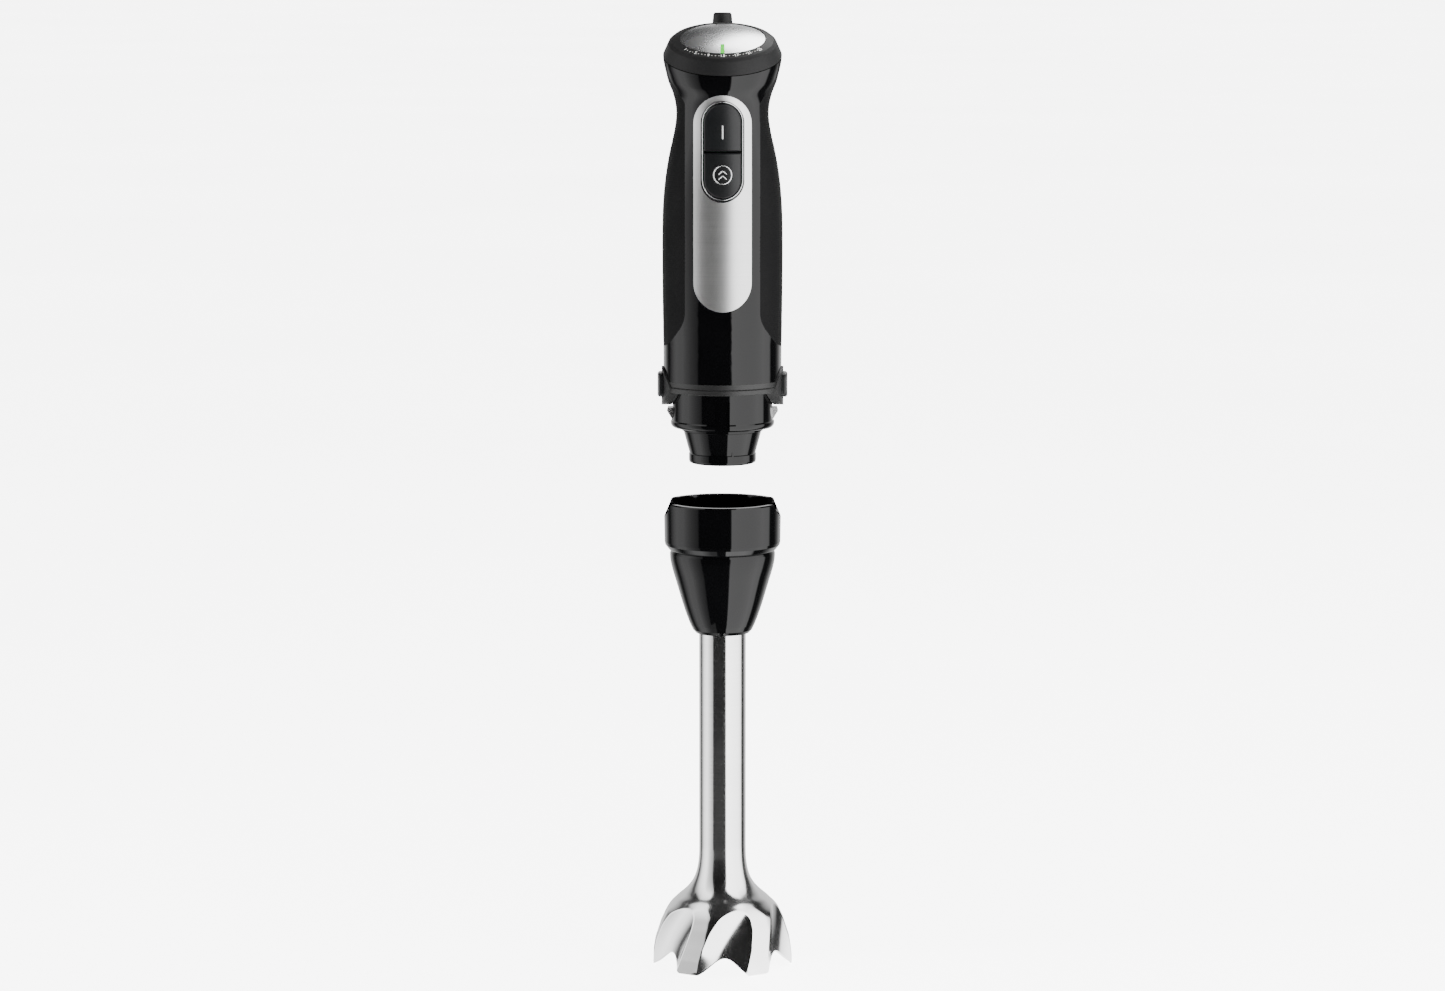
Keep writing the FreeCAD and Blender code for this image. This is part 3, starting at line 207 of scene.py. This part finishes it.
class Nodes:
    """Short names for the node types that the materials use."""

    def __init__(self, material):
        self.tree = material.node_tree
        self.bsdf = material.node_tree.nodes["Principled BSDF"]

    def add(self, kind, **values):
        node = self.tree.nodes.new(kind)
        for key, value in values.items():
            if key in node.inputs.keys():
                node.inputs[key].default_value = value
            else:
                setattr(node, key, value)
        return node

    def link(self, output, socket):
        self.tree.links.new(output, socket)

    def place(self, scale=(1, 1, 1), rotation=(0, 0, 0)):
        """Object coordinates in metres, stretched by scale."""
        coordinate = self.add("ShaderNodeTexCoord")
        mapping = self.add("ShaderNodeMapping", Scale=scale, Rotation=rotation)
        self.link(coordinate.outputs["Object"], mapping.inputs["Vector"])
        return mapping.outputs["Vector"]

    def noise(self, vector, scale, detail=2.0, rough=0.5):
        node = self.add("ShaderNodeTexNoise", Scale=scale, Detail=detail, Roughness=rough)
        self.link(vector, node.inputs["Vector"])
        return node.outputs["Fac"]

    def spread(self, value, low, high, start=0.3, end=0.7):
        """Map a value from start..end to low..high."""
        node = self.add("ShaderNodeMapRange")
        node.inputs["From Min"].default_value = start
        node.inputs["From Max"].default_value = end
        node.inputs["To Min"].default_value = low
        node.inputs["To Max"].default_value = high
        self.link(value, node.inputs["Value"])
        return node.outputs["Result"]

    def ramp(self, value, low, high, start=0.3, end=0.7):
        """A colour between low and high."""
        node = self.add("ShaderNodeValToRGB")
        node.color_ramp.elements[0].position = start
        node.color_ramp.elements[0].color = (*low, 1.0)
        node.color_ramp.elements[1].position = end
        node.color_ramp.elements[1].color = (*high, 1.0)
        self.link(value, node.inputs["Fac"])
        return node.outputs["Color"]

    def math(self, operation, first, second=None):
        node = self.add("ShaderNodeMath", operation=operation)
        for socket, value in zip(node.inputs, (first, second)):
            if isinstance(value, (int, float)):
                socket.default_value = value
            elif value is not None:
                self.link(value, socket)
        return node.outputs["Value"]

    def bump(self, value, strength, distance):
        node = self.add("ShaderNodeBump", Strength=strength, Distance=distance)
        self.link(value, node.inputs["Height"])
        self.link(node.outputs["Normal"], self.bsdf.inputs["Normal"])

    def rough(self, value):
        self.link(value, self.bsdf.inputs["Roughness"])

    def colour(self, value):
        self.link(value, self.bsdf.inputs["Base Color"])


def studio_floor():
    """A pale floor, lit from within like a light table, with a barely visible unevenness."""
    material, bsdf = shader("studio_floor", (0.8, 0.8, 0.8), 0.9)
    nodes = Nodes(material)
    cloud = nodes.noise(nodes.place(), scale=1.5, detail=3.0)
    bsdf.inputs["Emission Color"].default_value = (1.0, 1.0, 1.0, 1.0)
    nodes.link(nodes.spread(cloud, 6.4, 6.7), bsdf.inputs["Emission Strength"])
    nodes.rough(nodes.spread(cloud, 0.85, 0.95))
    return material


def surround_glow(name, least):
    """Emission that follows the azimuth round the blender and is nowhere below a least value."""
    material, bsdf = shader(name, (0.0, 0.0, 0.0), 1.0, Specular_IOR_Level=0.0)
    nodes = Nodes(material)
    spot = nodes.add("ShaderNodeNewGeometry")
    split = nodes.add("ShaderNodeSeparateXYZ")
    nodes.link(spot.outputs["Position"], split.inputs["Vector"])
    turn = nodes.math("ARCTAN2", split.outputs["X"], nodes.math("MULTIPLY", split.outputs["Y"], -1.0))
    share = nodes.spread(turn, 0.0, 1.0, -math.pi, math.pi)
    ramp = nodes.add("ShaderNodeValToRGB")
    highest = max(glow for _, glow in SURROUND)
    stops = ramp.color_ramp.elements
    while len(stops) < len(SURROUND):
        stops.new(0.5)
    for stop, (azimuth, glow) in zip(stops, SURROUND):
        stop.position = (azimuth + 180.0) / 360.0
        stop.color = (glow / highest,) * 3 + (1.0,)
    nodes.link(share, ramp.inputs["Fac"])
    glow = nodes.math("MAXIMUM", nodes.math("MULTIPLY", ramp.outputs["Color"], highest), least)
    nodes.link(glow, bsdf.inputs["Emission Strength"])
    bsdf.inputs["Emission Color"].default_value = (1.0, 1.0, 1.0, 1.0)
    return material


def moulded(name, colour, roughness, spread=0.06, grain=2500.0, depth=0.00002, mottle=0.16,
            **sockets):
    """Moulded plastic or rubber: a fine grain in its height, gloss and colour."""
    material, _ = shader(name, colour, roughness, **sockets)
    nodes = Nodes(material)
    where = nodes.place()
    fine = nodes.noise(where, grain, detail=3.0)
    broad = nodes.noise(where, scale=60.0, detail=3.0)
    nodes.rough(nodes.spread(broad, roughness - spread, roughness + spread))
    nodes.colour(nodes.ramp(fine, tuple(c * (1 - mottle) for c in colour),
                            tuple(c * (1 + mottle) for c in colour)))
    nodes.bump(fine, strength=0.35, distance=depth)
    return material


def polished(name, colour, roughness):
    """Glossy black plastic: nearly a mirror, with faint wipe marks."""
    material, _ = shader(name, colour, roughness, Specular_IOR_Level=0.19)
    nodes = Nodes(material)
    smear = nodes.noise(nodes.place(), scale=35.0, detail=4.0, rough=0.6)
    hair = nodes.noise(nodes.place((1.0, 1.0, 0.06)), scale=1800.0)
    nodes.rough(nodes.spread(smear, roughness * 0.7, roughness * 1.5))
    nodes.colour(nodes.ramp(smear, tuple(c * 0.9 for c in colour), tuple(c * 1.15 for c in colour)))
    nodes.bump(hair, strength=0.03, distance=0.00001)
    return material


def brushed(name, colour, roughness, scale, depth=0.00001, strength=0.2, contrast=0.12,
            swing=0.3):
    """Brushed metal: streaks along the axis whose scale is smallest."""
    material, _ = shader(name, colour, roughness, metallic=1.0)
    nodes = Nodes(material)
    streak = nodes.noise(nodes.place(scale), scale=1.0, detail=4.0, rough=0.65)
    cloud = nodes.noise(nodes.place(), scale=45.0, detail=3.0)
    nodes.rough(nodes.spread(streak, roughness * (1 - swing), roughness * (1 + swing)))
    nodes.colour(nodes.ramp(streak, tuple(c * (1 - contrast) for c in colour),
                            tuple(min(1.0, c * (1 + contrast)) for c in colour)))
    nodes.bump(nodes.math("ADD", streak, cloud), strength, depth)
    return material


MATERIALS = {
    "grip_rubber": moulded("grip_rubber", (0.0016, 0.0016, 0.0017), 0.55, spread=0.05,
                           grain=3000.0, depth=0.00003, Specular_IOR_Level=0.05),
    "gloss_black": polished("gloss_black", (0.0007, 0.0007, 0.0008), 0.04),
    "brushed_trim": brushed("brushed_trim", (0.44, 0.44, 0.44), 0.34, (8.0, 8.0, 5200.0),
                            contrast=0.08, swing=0.12),
    "bezel_black": moulded("bezel_black", (0.003, 0.003, 0.0032), 0.22, spread=0.05,
                           Specular_IOR_Level=0.3),
    "button_satin": moulded("button_satin", (0.0025, 0.0027, 0.003), 0.34, spread=0.05,
                            Specular_IOR_Level=0.22),
    "inner_plastic": moulded("inner_plastic", (0.05, 0.05, 0.053), 0.5),
    "board_green": moulded("board_green", (0.02, 0.14, 0.05), 0.35),
    "brass_parts": brushed("brass_parts", (0.72, 0.5, 0.22), 0.3, (40.0, 40.0, 3000.0)),
    "dial_black": moulded("dial_black", (0.003, 0.003, 0.0031), 0.58, spread=0.05,
                          grain=2600.0, depth=0.00003, Specular_IOR_Level=0.14),
    "cap_silver": moulded("cap_silver", (0.6, 0.605, 0.61), 0.27, spread=0.03,
                          grain=4500.0, depth=0.000001, mottle=0.03, Metallic=1.0),
    # Painted glow: the pointer gives off a faint green light of its own, though it is no lamp.
    "pointer_green": moulded("pointer_green", (0.04, 0.45, 0.03), 0.5, Specular_IOR_Level=0.1,
                             Emission_Color=(0.1, 0.8, 0.04, 1.0), Emission_Strength=0.45),
    "gland_rubber": moulded("gland_rubber", (0.004, 0.004, 0.0042), 0.6, Specular_IOR_Level=0.2),
    "collar_black": moulded("collar_black", (0.004, 0.004, 0.0041), 0.45, spread=0.05,
                            Specular_IOR_Level=0.25),
    "hook_steel": brushed("hook_steel", (0.62, 0.62, 0.62), 0.3, (40.0, 3000.0, 40.0)),
    "spring_steel": brushed("spring_steel", (0.5, 0.5, 0.52), 0.3, (900.0, 900.0, 900.0)),
    "seal_rubber": moulded("seal_rubber", (0.03, 0.03, 0.03), 0.65),
    "cast_alloy": moulded("cast_alloy", (0.5, 0.51, 0.52), 0.45, spread=0.08,
                          grain=1500.0, depth=0.00005, Metallic=1.0),
    "bearing_steel": brushed("bearing_steel", (0.6, 0.61, 0.62), 0.25, (60.0, 60.0, 3500.0)),
    "lamination_steel": brushed("lamination_steel", (0.2, 0.2, 0.21), 0.45, (20.0, 20.0, 2000.0)),
    "copper_wire": brushed("copper_wire", (0.6, 0.24, 0.09), 0.35, (400.0, 400.0, 1800.0)),
    "carbon": moulded("carbon", (0.03, 0.03, 0.033), 0.6),
    "coupling_plastic": moulded("coupling_plastic", (0.8, 0.8, 0.77), 0.4),
    "capacitor_yellow": moulded("capacitor_yellow", (0.7, 0.48, 0.05), 0.4),
    "tube_steel": brushed("tube_steel", (0.62, 0.62, 0.62), 0.11, (25.0, 25.0, 4200.0),
                          depth=0.000002),
    "bell_steel": brushed("bell_steel", (0.66, 0.66, 0.66), 0.12, (60.0, 60.0, 60.0),
                          depth=0.000002, strength=0.05, contrast=0.04),
    "blade_steel": brushed("blade_steel", (0.68, 0.68, 0.69), 0.22, (3000.0, 60.0, 60.0)),
}


def finish_nodes():
    """Give every CAD node the procedural material of its slot."""
    for entry in frame["record"]["subparts"]:
        node = NODES[entry["node"]]
        node.data.materials.clear()
        node.data.materials.append(MATERIALS[entry["material_slot"]])


# ---------------------------------------------------------------- helpers for the new pieces
def new_piece(name, points, faces, body, slot, flat_angle=35.0):
    """A mesh piece that moves with a CAD body and takes its finish from a slot."""
    mesh = bpy.data.meshes.new(name)
    mesh.from_pydata([tuple(point) for point in points], [], faces)
    mesh.validate()
    mesh.shade_smooth()
    mesh.set_sharp_from_angle(angle=math.radians(flat_angle))
    piece = bpy.data.objects.new(name, mesh)
    bpy.context.scene.collection.objects.link(piece)
    piece.data.materials.append(MATERIALS[slot])
    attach(piece, body)
    return piece


def surface_tree(node):
    """The CAD node's triangles, for finding points on its surface."""
    mesh = NODES[node].data
    mesh.calc_loop_triangles()
    corners = [vertex.co.copy() for vertex in mesh.vertices]
    return BVHTree.FromPolygons(corners, [tuple(tri.vertices) for tri in mesh.loop_triangles])


def ring_faces(rings, around, closed_path=False, closed_rings=True):
    """Quads between neighbouring rings of points."""
    faces = []
    last_ring = rings if closed_path else rings - 1
    last_step = around if closed_rings else around - 1
    for ring in range(last_ring):
        here, there = ring * around, (ring + 1) % rings * around
        for step in range(last_step):
            after = (step + 1) % around
            faces.append((here + step, here + after, there + after, there + step))
    return faces


# ---------------------------------------------------------------- soft grip dots
DOT_PITCH = 1.15 * MM
DOT_ROW = 1.0 * MM
DOT_RADIUS = 0.36 * MM
DOT_HEIGHT = 0.2 * MM
DOT_SINK = 0.02 * MM
DOT_SIDES = 6
DOT_SIZES = (0.6, 0.8, 1.0)    # for 4, 5 and 6 neighbouring places that are on the grip
# Places looked at round a dot: a turn in radians and a height in metres.
DOT_NEIGHBOURS = ((0.09, 0.0), (-0.09, 0.0), (0.18, 0.0), (-0.18, 0.0), (0.0, 0.003), (0.0, -0.003))
GRIP_LOW = 306.5 * MM
GRIP_SPAN = 120 * MM
GRIP_RADIUS = 27.5 * MM
GRIP_INNERMOST = 20.5 * MM
GRIP_FACING = 0.6              # least cosine between the surface and the way out
OUTSIDE = 60 * MM              # a ray starts this far from the axis


def grip_hit(tree, turn, height):
    """The place and normal on the grip's outer side, or None past its edges."""
    outward = Vector((math.sin(turn), -math.cos(turn), 0.0))
    spot, normal, _, _ = tree.ray_cast(Vector((0, 0, height)) + outward * OUTSIDE, -outward)
    if spot is None or spot.xy.length < GRIP_INNERMOST or normal.dot(outward) < GRIP_FACING:
        return None
    return spot, normal


def dot_points(spot, normal, size):
    """A low six-sided dome."""
    side = normal.orthogonal().normalized()
    other = normal.cross(side)
    turns = [k * 2 * math.pi / DOT_SIDES for k in range(DOT_SIDES)]
    rim = [spot + (side * math.cos(turn) + other * math.sin(turn)) * DOT_RADIUS * size
           - normal * DOT_SINK for turn in turns]
    return rim + [spot + normal * DOT_HEIGHT * size]


def grip_dots():
    """Staggered raised dots over the soft grip that fade out at its edges."""
    tree = surface_tree("soft_grip")
    points, faces = [], []
    count = 2 * int(math.pi * GRIP_RADIUS / DOT_PITCH)
    for row in range(round(GRIP_SPAN / DOT_ROW)):
        height = GRIP_LOW + row * DOT_ROW
        for step in range(count):
            turn = (step + 0.5 * (row % 2)) * 2 * math.pi / count
            hit = grip_hit(tree, turn, height)
            if hit is None:
                continue
            near = sum(grip_hit(tree, turn + aside, height + above) is not None
                       for aside, above in DOT_NEIGHBOURS)
            missing = len(DOT_NEIGHBOURS) - near
            if missing >= len(DOT_SIZES):
                continue
            first = len(points)
            points += dot_points(*hit, DOT_SIZES[-1 - missing])
            faces += [(first + k, first + (k + 1) % DOT_SIDES, first + DOT_SIDES)
                      for k in range(DOT_SIDES)]
    new_piece("grip_dots", points, faces, "handle", "grip_rubber", 80.0)


# ---------------------------------------------------------------- marks on the front, in mm
BEAD_ACROSS = 7
BEAD_RISE = 0.12
BEAD_SINK = 0.01
IN_FRONT = -60                 # where a ray towards the surface starts
START_BAR = (405.6, 411.9)     # lower and upper end
START_BAR_WIDTH = 0.6
TURBO_MIDDLE = 388.7
TURBO_RING_RADIUS = 4.3
TURBO_LINE_WIDTH = 0.5
CHEVRON_HALF = 1.9
CHEVRON_RISE = 1.7
CHEVRON_FEET = (-2.1, 0.3)     # from the middle of the ring
BEZEL_HALF = 9.62
BEZEL_ENDS = (376.78, 423.02)
# Width of the silver bead on the bezel, a painted highlight on its inner bevel.
PAINTED_HIGHLIGHT_WIDTH = 0.32


def arc(centre_x, centre_z, radius, first, last, steps):
    """Points along an arc seen from the front; the angles are in degrees."""
    turns = [math.radians(first + (last - first) * k / steps) for k in range(steps + 1)]
    return [(centre_x + radius * math.cos(a), centre_z + radius * math.sin(a)) for a in turns]


def line(start, end, steps=16):
    """Points along a straight line seen from the front."""
    return [(start[0] + (end[0] - start[0]) * k / steps, start[1] + (end[1] - start[1]) * k / steps)
            for k in range(steps + 1)]


def bead(tree, path, width, closed):
    """Points and faces of a low rounded bead laid on a surface seen from the front."""
    points = []
    count = len(path)
    for k, (x, z) in enumerate(path):
        before = path[(k - 1) % count] if closed or k else path[k]
        after = path[(k + 1) % count] if closed or k < count - 1 else path[k]
        run = Vector((after[0] - before[0], 0, after[1] - before[1])).normalized()
        cross = Vector((run.z, 0, -run.x))
        for j in range(BEAD_ACROSS):
            share = 2 * j / (BEAD_ACROSS - 1) - 1
            place = Vector((x, IN_FRONT, z)) + cross * share * width / 2
            spot, normal, _, _ = tree.ray_cast(place * MM, Vector((0, 1, 0)))
            lift = BEAD_RISE * math.sqrt(max(0.0, 1 - share * share)) - BEAD_SINK
            points.append(spot + normal * lift * MM)
    return points, ring_faces(count, BEAD_ACROSS, closed_path=closed, closed_rings=False)


def laid(name, node, strokes, width, body, slot):
    """One piece made of several beads on the same CAD node."""
    tree = surface_tree(node)
    points, faces = [], []
    for path, closed in strokes:
        more, quads = bead(tree, path, width, closed)
        faces += [tuple(corner + len(points) for corner in quad) for quad in quads]
        points += more
    new_piece(name, points, faces, body, slot, 80.0)


def chevron(foot):
    """A path up to a point on the centre line and down again."""
    tip = (0, foot + CHEVRON_RISE)
    return line((-CHEVRON_HALF, foot), tip, 8) + line(tip, (CHEVRON_HALF, foot), 8)[1:]


def button_marks():
    """A bar on the start button, and a ring with two chevrons on the turbo button."""
    bar = line((0, START_BAR[0]), (0, START_BAR[1]))
    laid("start_mark", "start_button", [(bar, False)], START_BAR_WIDTH, "start_button", "cap_silver")
    ring = arc(0, TURBO_MIDDLE, TURBO_RING_RADIUS, 0, 355, 71)
    chevrons = [(chevron(TURBO_MIDDLE + foot), False) for foot in CHEVRON_FEET]
    laid("turbo_mark", "turbo_button", [(ring, True)] + chevrons, TURBO_LINE_WIDTH,
         "turbo_button", "cap_silver")


def capsule_path(half, low, high, steps=24):
    """A closed upright capsule outline seen from the front."""
    top = arc(0, high - half, half, 0, 180, steps)
    bottom = arc(0, low + half, half, 180, 360, steps)
    left = line((-half, high - half), (-half, low + half), 30)[1:-1]
    right = line((half, low + half), (half, high - half), 30)[1:-1]
    return top + left + bottom + right


def painted_bezel_highlight():
    """A silver bead round the inside of the bezel: a painted highlight standing in for the light on
    the bezel's inner bevel.
    """
    laid("painted_bezel_highlight", "button_bezel", [(capsule_path(BEZEL_HALF, *BEZEL_ENDS), True)],
         PAINTED_HIGHLIGHT_WIDTH, "handle", "cap_silver")


# ---------------------------------------------------------------- dial scale, in mm
DIAL_TILT = math.radians(18.5)
DIAL_CENTRE = Vector((0, 0, 444.3)) * MM
SCALE_RADIUS = 22.55
SCALE_STEP = 17.25             # degrees between two numbers
SLOPE_OUTER = (24.5, 7.7)      # radius and height of the sloping ring's outer edge
SLOPE_INNER = (20.7, 8.9)
NUMERAL_SIZE = 2.5
NUMERAL_WEIGHT = 0.02
NUMERAL_LIFT = 0.03
SCALE_DOT_RADIUS = 0.22
SCALE_DOT_LIFT = 0.01
SCALE_DOT_RISE = 0.06
SCALE_DOT_SIDES = 10


def dial_frame(turn):
    """The scale's place on the dial: across, inward and up from the sloping ring, at one angle."""
    slope = math.atan2(SLOPE_INNER[1] - SLOPE_OUTER[1], SLOPE_OUTER[0] - SLOPE_INNER[0])
    out = Vector((math.sin(turn), -math.cos(turn), 0))
    height = SLOPE_OUTER[1] + (SLOPE_OUTER[0] - SCALE_RADIUS) * math.tan(slope)
    up = Vector((0, 0, 1)) * math.cos(slope) + out * math.sin(slope)
    inward = Vector((0, 0, 1)) * math.sin(slope) - out * math.cos(slope)
    across = inward.cross(up)
    tilt = Matrix.Rotation(DIAL_TILT, 3, "X")
    centre = DIAL_CENTRE + tilt @ (out * SCALE_RADIUS + Vector((0, 0, height))) * MM
    return centre, tilt @ across, tilt @ inward, tilt @ up


def numeral(text, turn):
    """Points and faces of one number in Blender's own font, laid on the scale."""
    data = bpy.data.curves.new("numeral_" + text, "FONT")
    data.body = text
    data.size = NUMERAL_SIZE
    data.align_x = "CENTER"
    data.align_y = "CENTER"
    data.extrude = NUMERAL_WEIGHT
    data.offset = NUMERAL_WEIGHT
    shape = bpy.data.objects.new("numeral_" + text, data)
    bpy.context.scene.collection.objects.link(shape)
    bpy.context.view_layer.update()
    flat = bpy.data.meshes.new_from_object(shape.evaluated_get(
        bpy.context.evaluated_depsgraph_get()))
    bpy.data.objects.remove(shape)
    centre, across, inward, up = dial_frame(turn)
    places = [vertex.co for vertex in flat.vertices]
    points = [centre + (across * at.x + inward * at.y + up * (at.z + NUMERAL_LIFT)) * MM
              for at in places]
    return points, [tuple(face.vertices) for face in flat.polygons]


def scale_dot(turn):
    """A flat cone on the scale."""
    centre, across, inward, up = dial_frame(turn)
    sides = SCALE_DOT_SIDES
    angles = [k * 2 * math.pi / sides for k in range(sides)]
    rim = [centre + (across * math.cos(angle) + inward * math.sin(angle)) * SCALE_DOT_RADIUS * MM
           + up * SCALE_DOT_LIFT * MM for angle in angles]
    points = rim + [centre + up * SCALE_DOT_RISE * MM]
    return points, [(k, (k + 1) % sides, sides) for k in range(sides)]


def dial_scale():
    """Speeds 1 to 25 with three dots between each pair of numbers."""
    points, faces = [], []
    for k, text in enumerate(("1", "5", "9", "13", "17", "21", "25")):
        turn = math.radians((k - 3) * SCALE_STEP)
        shapes = [numeral(text, turn)]
        if k < 6:
            shapes += [scale_dot(turn + math.radians(SCALE_STEP * j / 4)) for j in (1, 2, 3)]
        for more, polygons in shapes:
            faces += [tuple(corner + len(points) for corner in face) for face in polygons]
            points += more
    new_piece("dial_scale", points, faces, "dial", "coupling_plastic", 30.0)


# ---------------------------------------------------------------- blade bell, in mm and degrees
# Height and radius down the bell's side, read off its outline in the photograph.
BELL_SIDE = ((57.9, 11.45), (56.4, 11.46), (53.5, 11.54), (50.5, 11.8), (47.6, 12.26), (44.6, 13.0),
             (41.7, 14.2), (38.8, 16.05), (35.8, 18.9), (32.9, 22.3), (29.9, 25.2), (27.0, 27.4),
             (24.0, 28.85), (21.1, 30.1), (18.2, 31.0), (15.2, 31.9), (12.3, 32.8), (9.3, 33.3),
             (6.4, 33.7), (3.4, 33.9), (0.0, 34.0))
BELL_TOP = BELL_SIDE[0][0]
BELL_WALL = 1.1
BELL_AROUND = 900
BELL_CLEARANCE = 0.02          # kept inside the CAD box at the front
NECK_BORE = 8.6
NECK_LOW = 42.0
EDGE_ROUNDING = 0.12           # taken off the outside at the very edge
FEET = 6
LEAN_HEIGHT = 30.0             # where FOOT_LEAN and SCALLOP_LEAN are reached
LEAN_LIMIT = 1.3
FOOT_LEAN = 4.0
FOOT_CREST = 32.0              # height where the flats on the feet run out
FOOT_FADE = 6.0
FOOT_SWELL = 0.8
FOOT_BLEND = 0.25
SCALLOP_RADIUS = 30.0
SCALLOP_LEAN = 17.0
SCALLOP_SLOPE = math.tan(math.radians(10.0))
SCALLOP_REACH = 29.4           # the hollow's distance from the axis, at SCALLOP_LEVEL
SCALLOP_LEVEL = 6.0
SCALLOP_BLEND = 0.3
NO_SCALLOP = 99.0              # farther out than any part of the bell
ARCH_WIDTH = 45.0
ARCH_HEIGHT = 8.0
ARCH_LEAN = 1.15               # over 1 moves the arch's top to the right, seen from outside
ARCH_ROUNDING = 1.25


def smooth_curve(stations, wanted):
    """A rounded line through stations given as (position, value), by cubic spans."""
    x = np.array([point[0] for point in stations][::-1])
    y = np.array([point[1] for point in stations][::-1])
    slope = np.gradient(y, x)
    k = np.clip(np.searchsorted(x, wanted) - 1, 0, len(x) - 2)
    span = x[k + 1] - x[k]
    u = (wanted - x[k]) / span
    return ((2 * u ** 3 - 3 * u ** 2 + 1) * y[k] + (u ** 3 - 2 * u ** 2 + u) * span * slope[k]
            + (3 * u ** 2 - 2 * u ** 3) * y[k + 1] + (u ** 3 - u ** 2) * span * slope[k + 1])


def soft_min(first, second, width):
    """The smaller of two values, with a rounded change-over."""
    share = np.clip(0.5 + 0.5 * (second - first) / width, 0.0, 1.0)
    return second + (first - second) * share - width * share * (1 - share)


def sector_angle(turn, centre):
    """Degrees from the nearest of six centres spaced evenly round the axis."""
    sector = 360.0 / FEET
    return (turn - centre + sector / 2) % sector - sector / 2


def bell_radius(height, turn):
    """The bell's outer radius: turned form, foot facets and leaning scallops."""
    side = smooth_curve(BELL_SIDE, height)
    share = np.clip(height / LEAN_HEIGHT, 0.0, LEAN_LIMIT)
    foot = np.radians(sector_angle(turn, 180.0 / FEET + FOOT_LEAN * share))
    facet = side / np.cos(foot)
    crest = np.clip((FOOT_CREST - height) / FOOT_FADE, 0.0, 1.0)
    form = side + FOOT_SWELL * crest * crest * (3 - 2 * crest)
    radius = soft_min(form, facet, FOOT_BLEND)
    scallop = np.radians(sector_angle(turn, SCALLOP_LEAN * share * np.sqrt(share)))
    reach = SCALLOP_REACH + (SCALLOP_LEVEL - height) * SCALLOP_SLOPE + SCALLOP_RADIUS
    inside = np.clip(SCALLOP_RADIUS ** 2 - (reach * np.sin(scallop)) ** 2, 0.0, None)
    hollow = reach * np.cos(scallop) - np.sqrt(inside)
    hollow = np.where(inside > 0, hollow, NO_SCALLOP)
    return soft_min(radius, hollow, SCALLOP_BLEND)


def bell_edge(turn):
    """How high the bell's lower edge arches between its feet."""
    share = np.clip((sector_angle(turn, 0.0) + ARCH_WIDTH / 2) / ARCH_WIDTH, 0.0, 1.0)
    return ARCH_HEIGHT * np.sin(np.pi * share ** ARCH_LEAN) ** ARCH_ROUNDING


def bell_ring(turn, radius, height):
    """One ring of points round the axis."""
    angle = np.radians(turn)
    return np.stack([radius * np.sin(angle), -radius * np.cos(angle),
                     height * np.ones_like(angle)], axis=1)


def bell():
    """The whole bell as one closed skin: down the outside, up the inside and over the neck."""
    turn = np.arange(BELL_AROUND) * 360.0 / BELL_AROUND
    edge = bell_edge(turn)
    rings = []
    for share in np.concatenate([np.linspace(0, 0.4, 16)[:-1], np.linspace(0.4, 1.0, 104)]):
        height = BELL_TOP + (edge - BELL_TOP) * share
        radius = bell_radius(height, turn) - (EDGE_ROUNDING if share == 1.0 else 0.0)
        rings.append(bell_ring(turn, radius, height))
    rim = bell_radius(edge, turn)
    rings.append(bell_ring(turn, rim - BELL_WALL, edge))
    for share in np.linspace(0.02, 1.0, 40):
        height = edge + (NECK_LOW - edge) * share
        radius = bell_radius(height, turn) - BELL_WALL
        rings.append(bell_ring(turn, radius, height))
    for height in (NECK_LOW, BELL_TOP):
        rings.append(bell_ring(turn, NECK_BORE, height))
    points = np.concatenate(rings) * MM
    points[:, 1] = np.maximum(points[:, 1], CAD_BOX[0][1] + BELL_CLEARANCE * MM)
    faces = ring_faces(len(rings), BELL_AROUND, closed_path=True)
    piece = new_piece("polished_bell", points, faces, "blending_shaft", "bell_steel", 40.0)
    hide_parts("bell_guard")


make_camera()
make_stage()
softbox("right_box", azimuth=63.0, distance=0.52, size=(1.08, 1.2), radiance=2.6)
softbox("left_box", azimuth=-82.0, distance=0.52, size=(0.76, 1.2), radiance=1.4)
softbox("back_box", azimuth=152.0, distance=1.0, size=(0.9, 0.9), radiance=8.0, low=1.2,
        aim_height=0.45, mirrored=True)
surround()
finish_nodes()
grip_dots()
button_marks()
# Lays the bezel's painted highlight: a silver bead standing in for light on its inner bevel.
painted_bezel_highlight()
dial_scale()
bell()
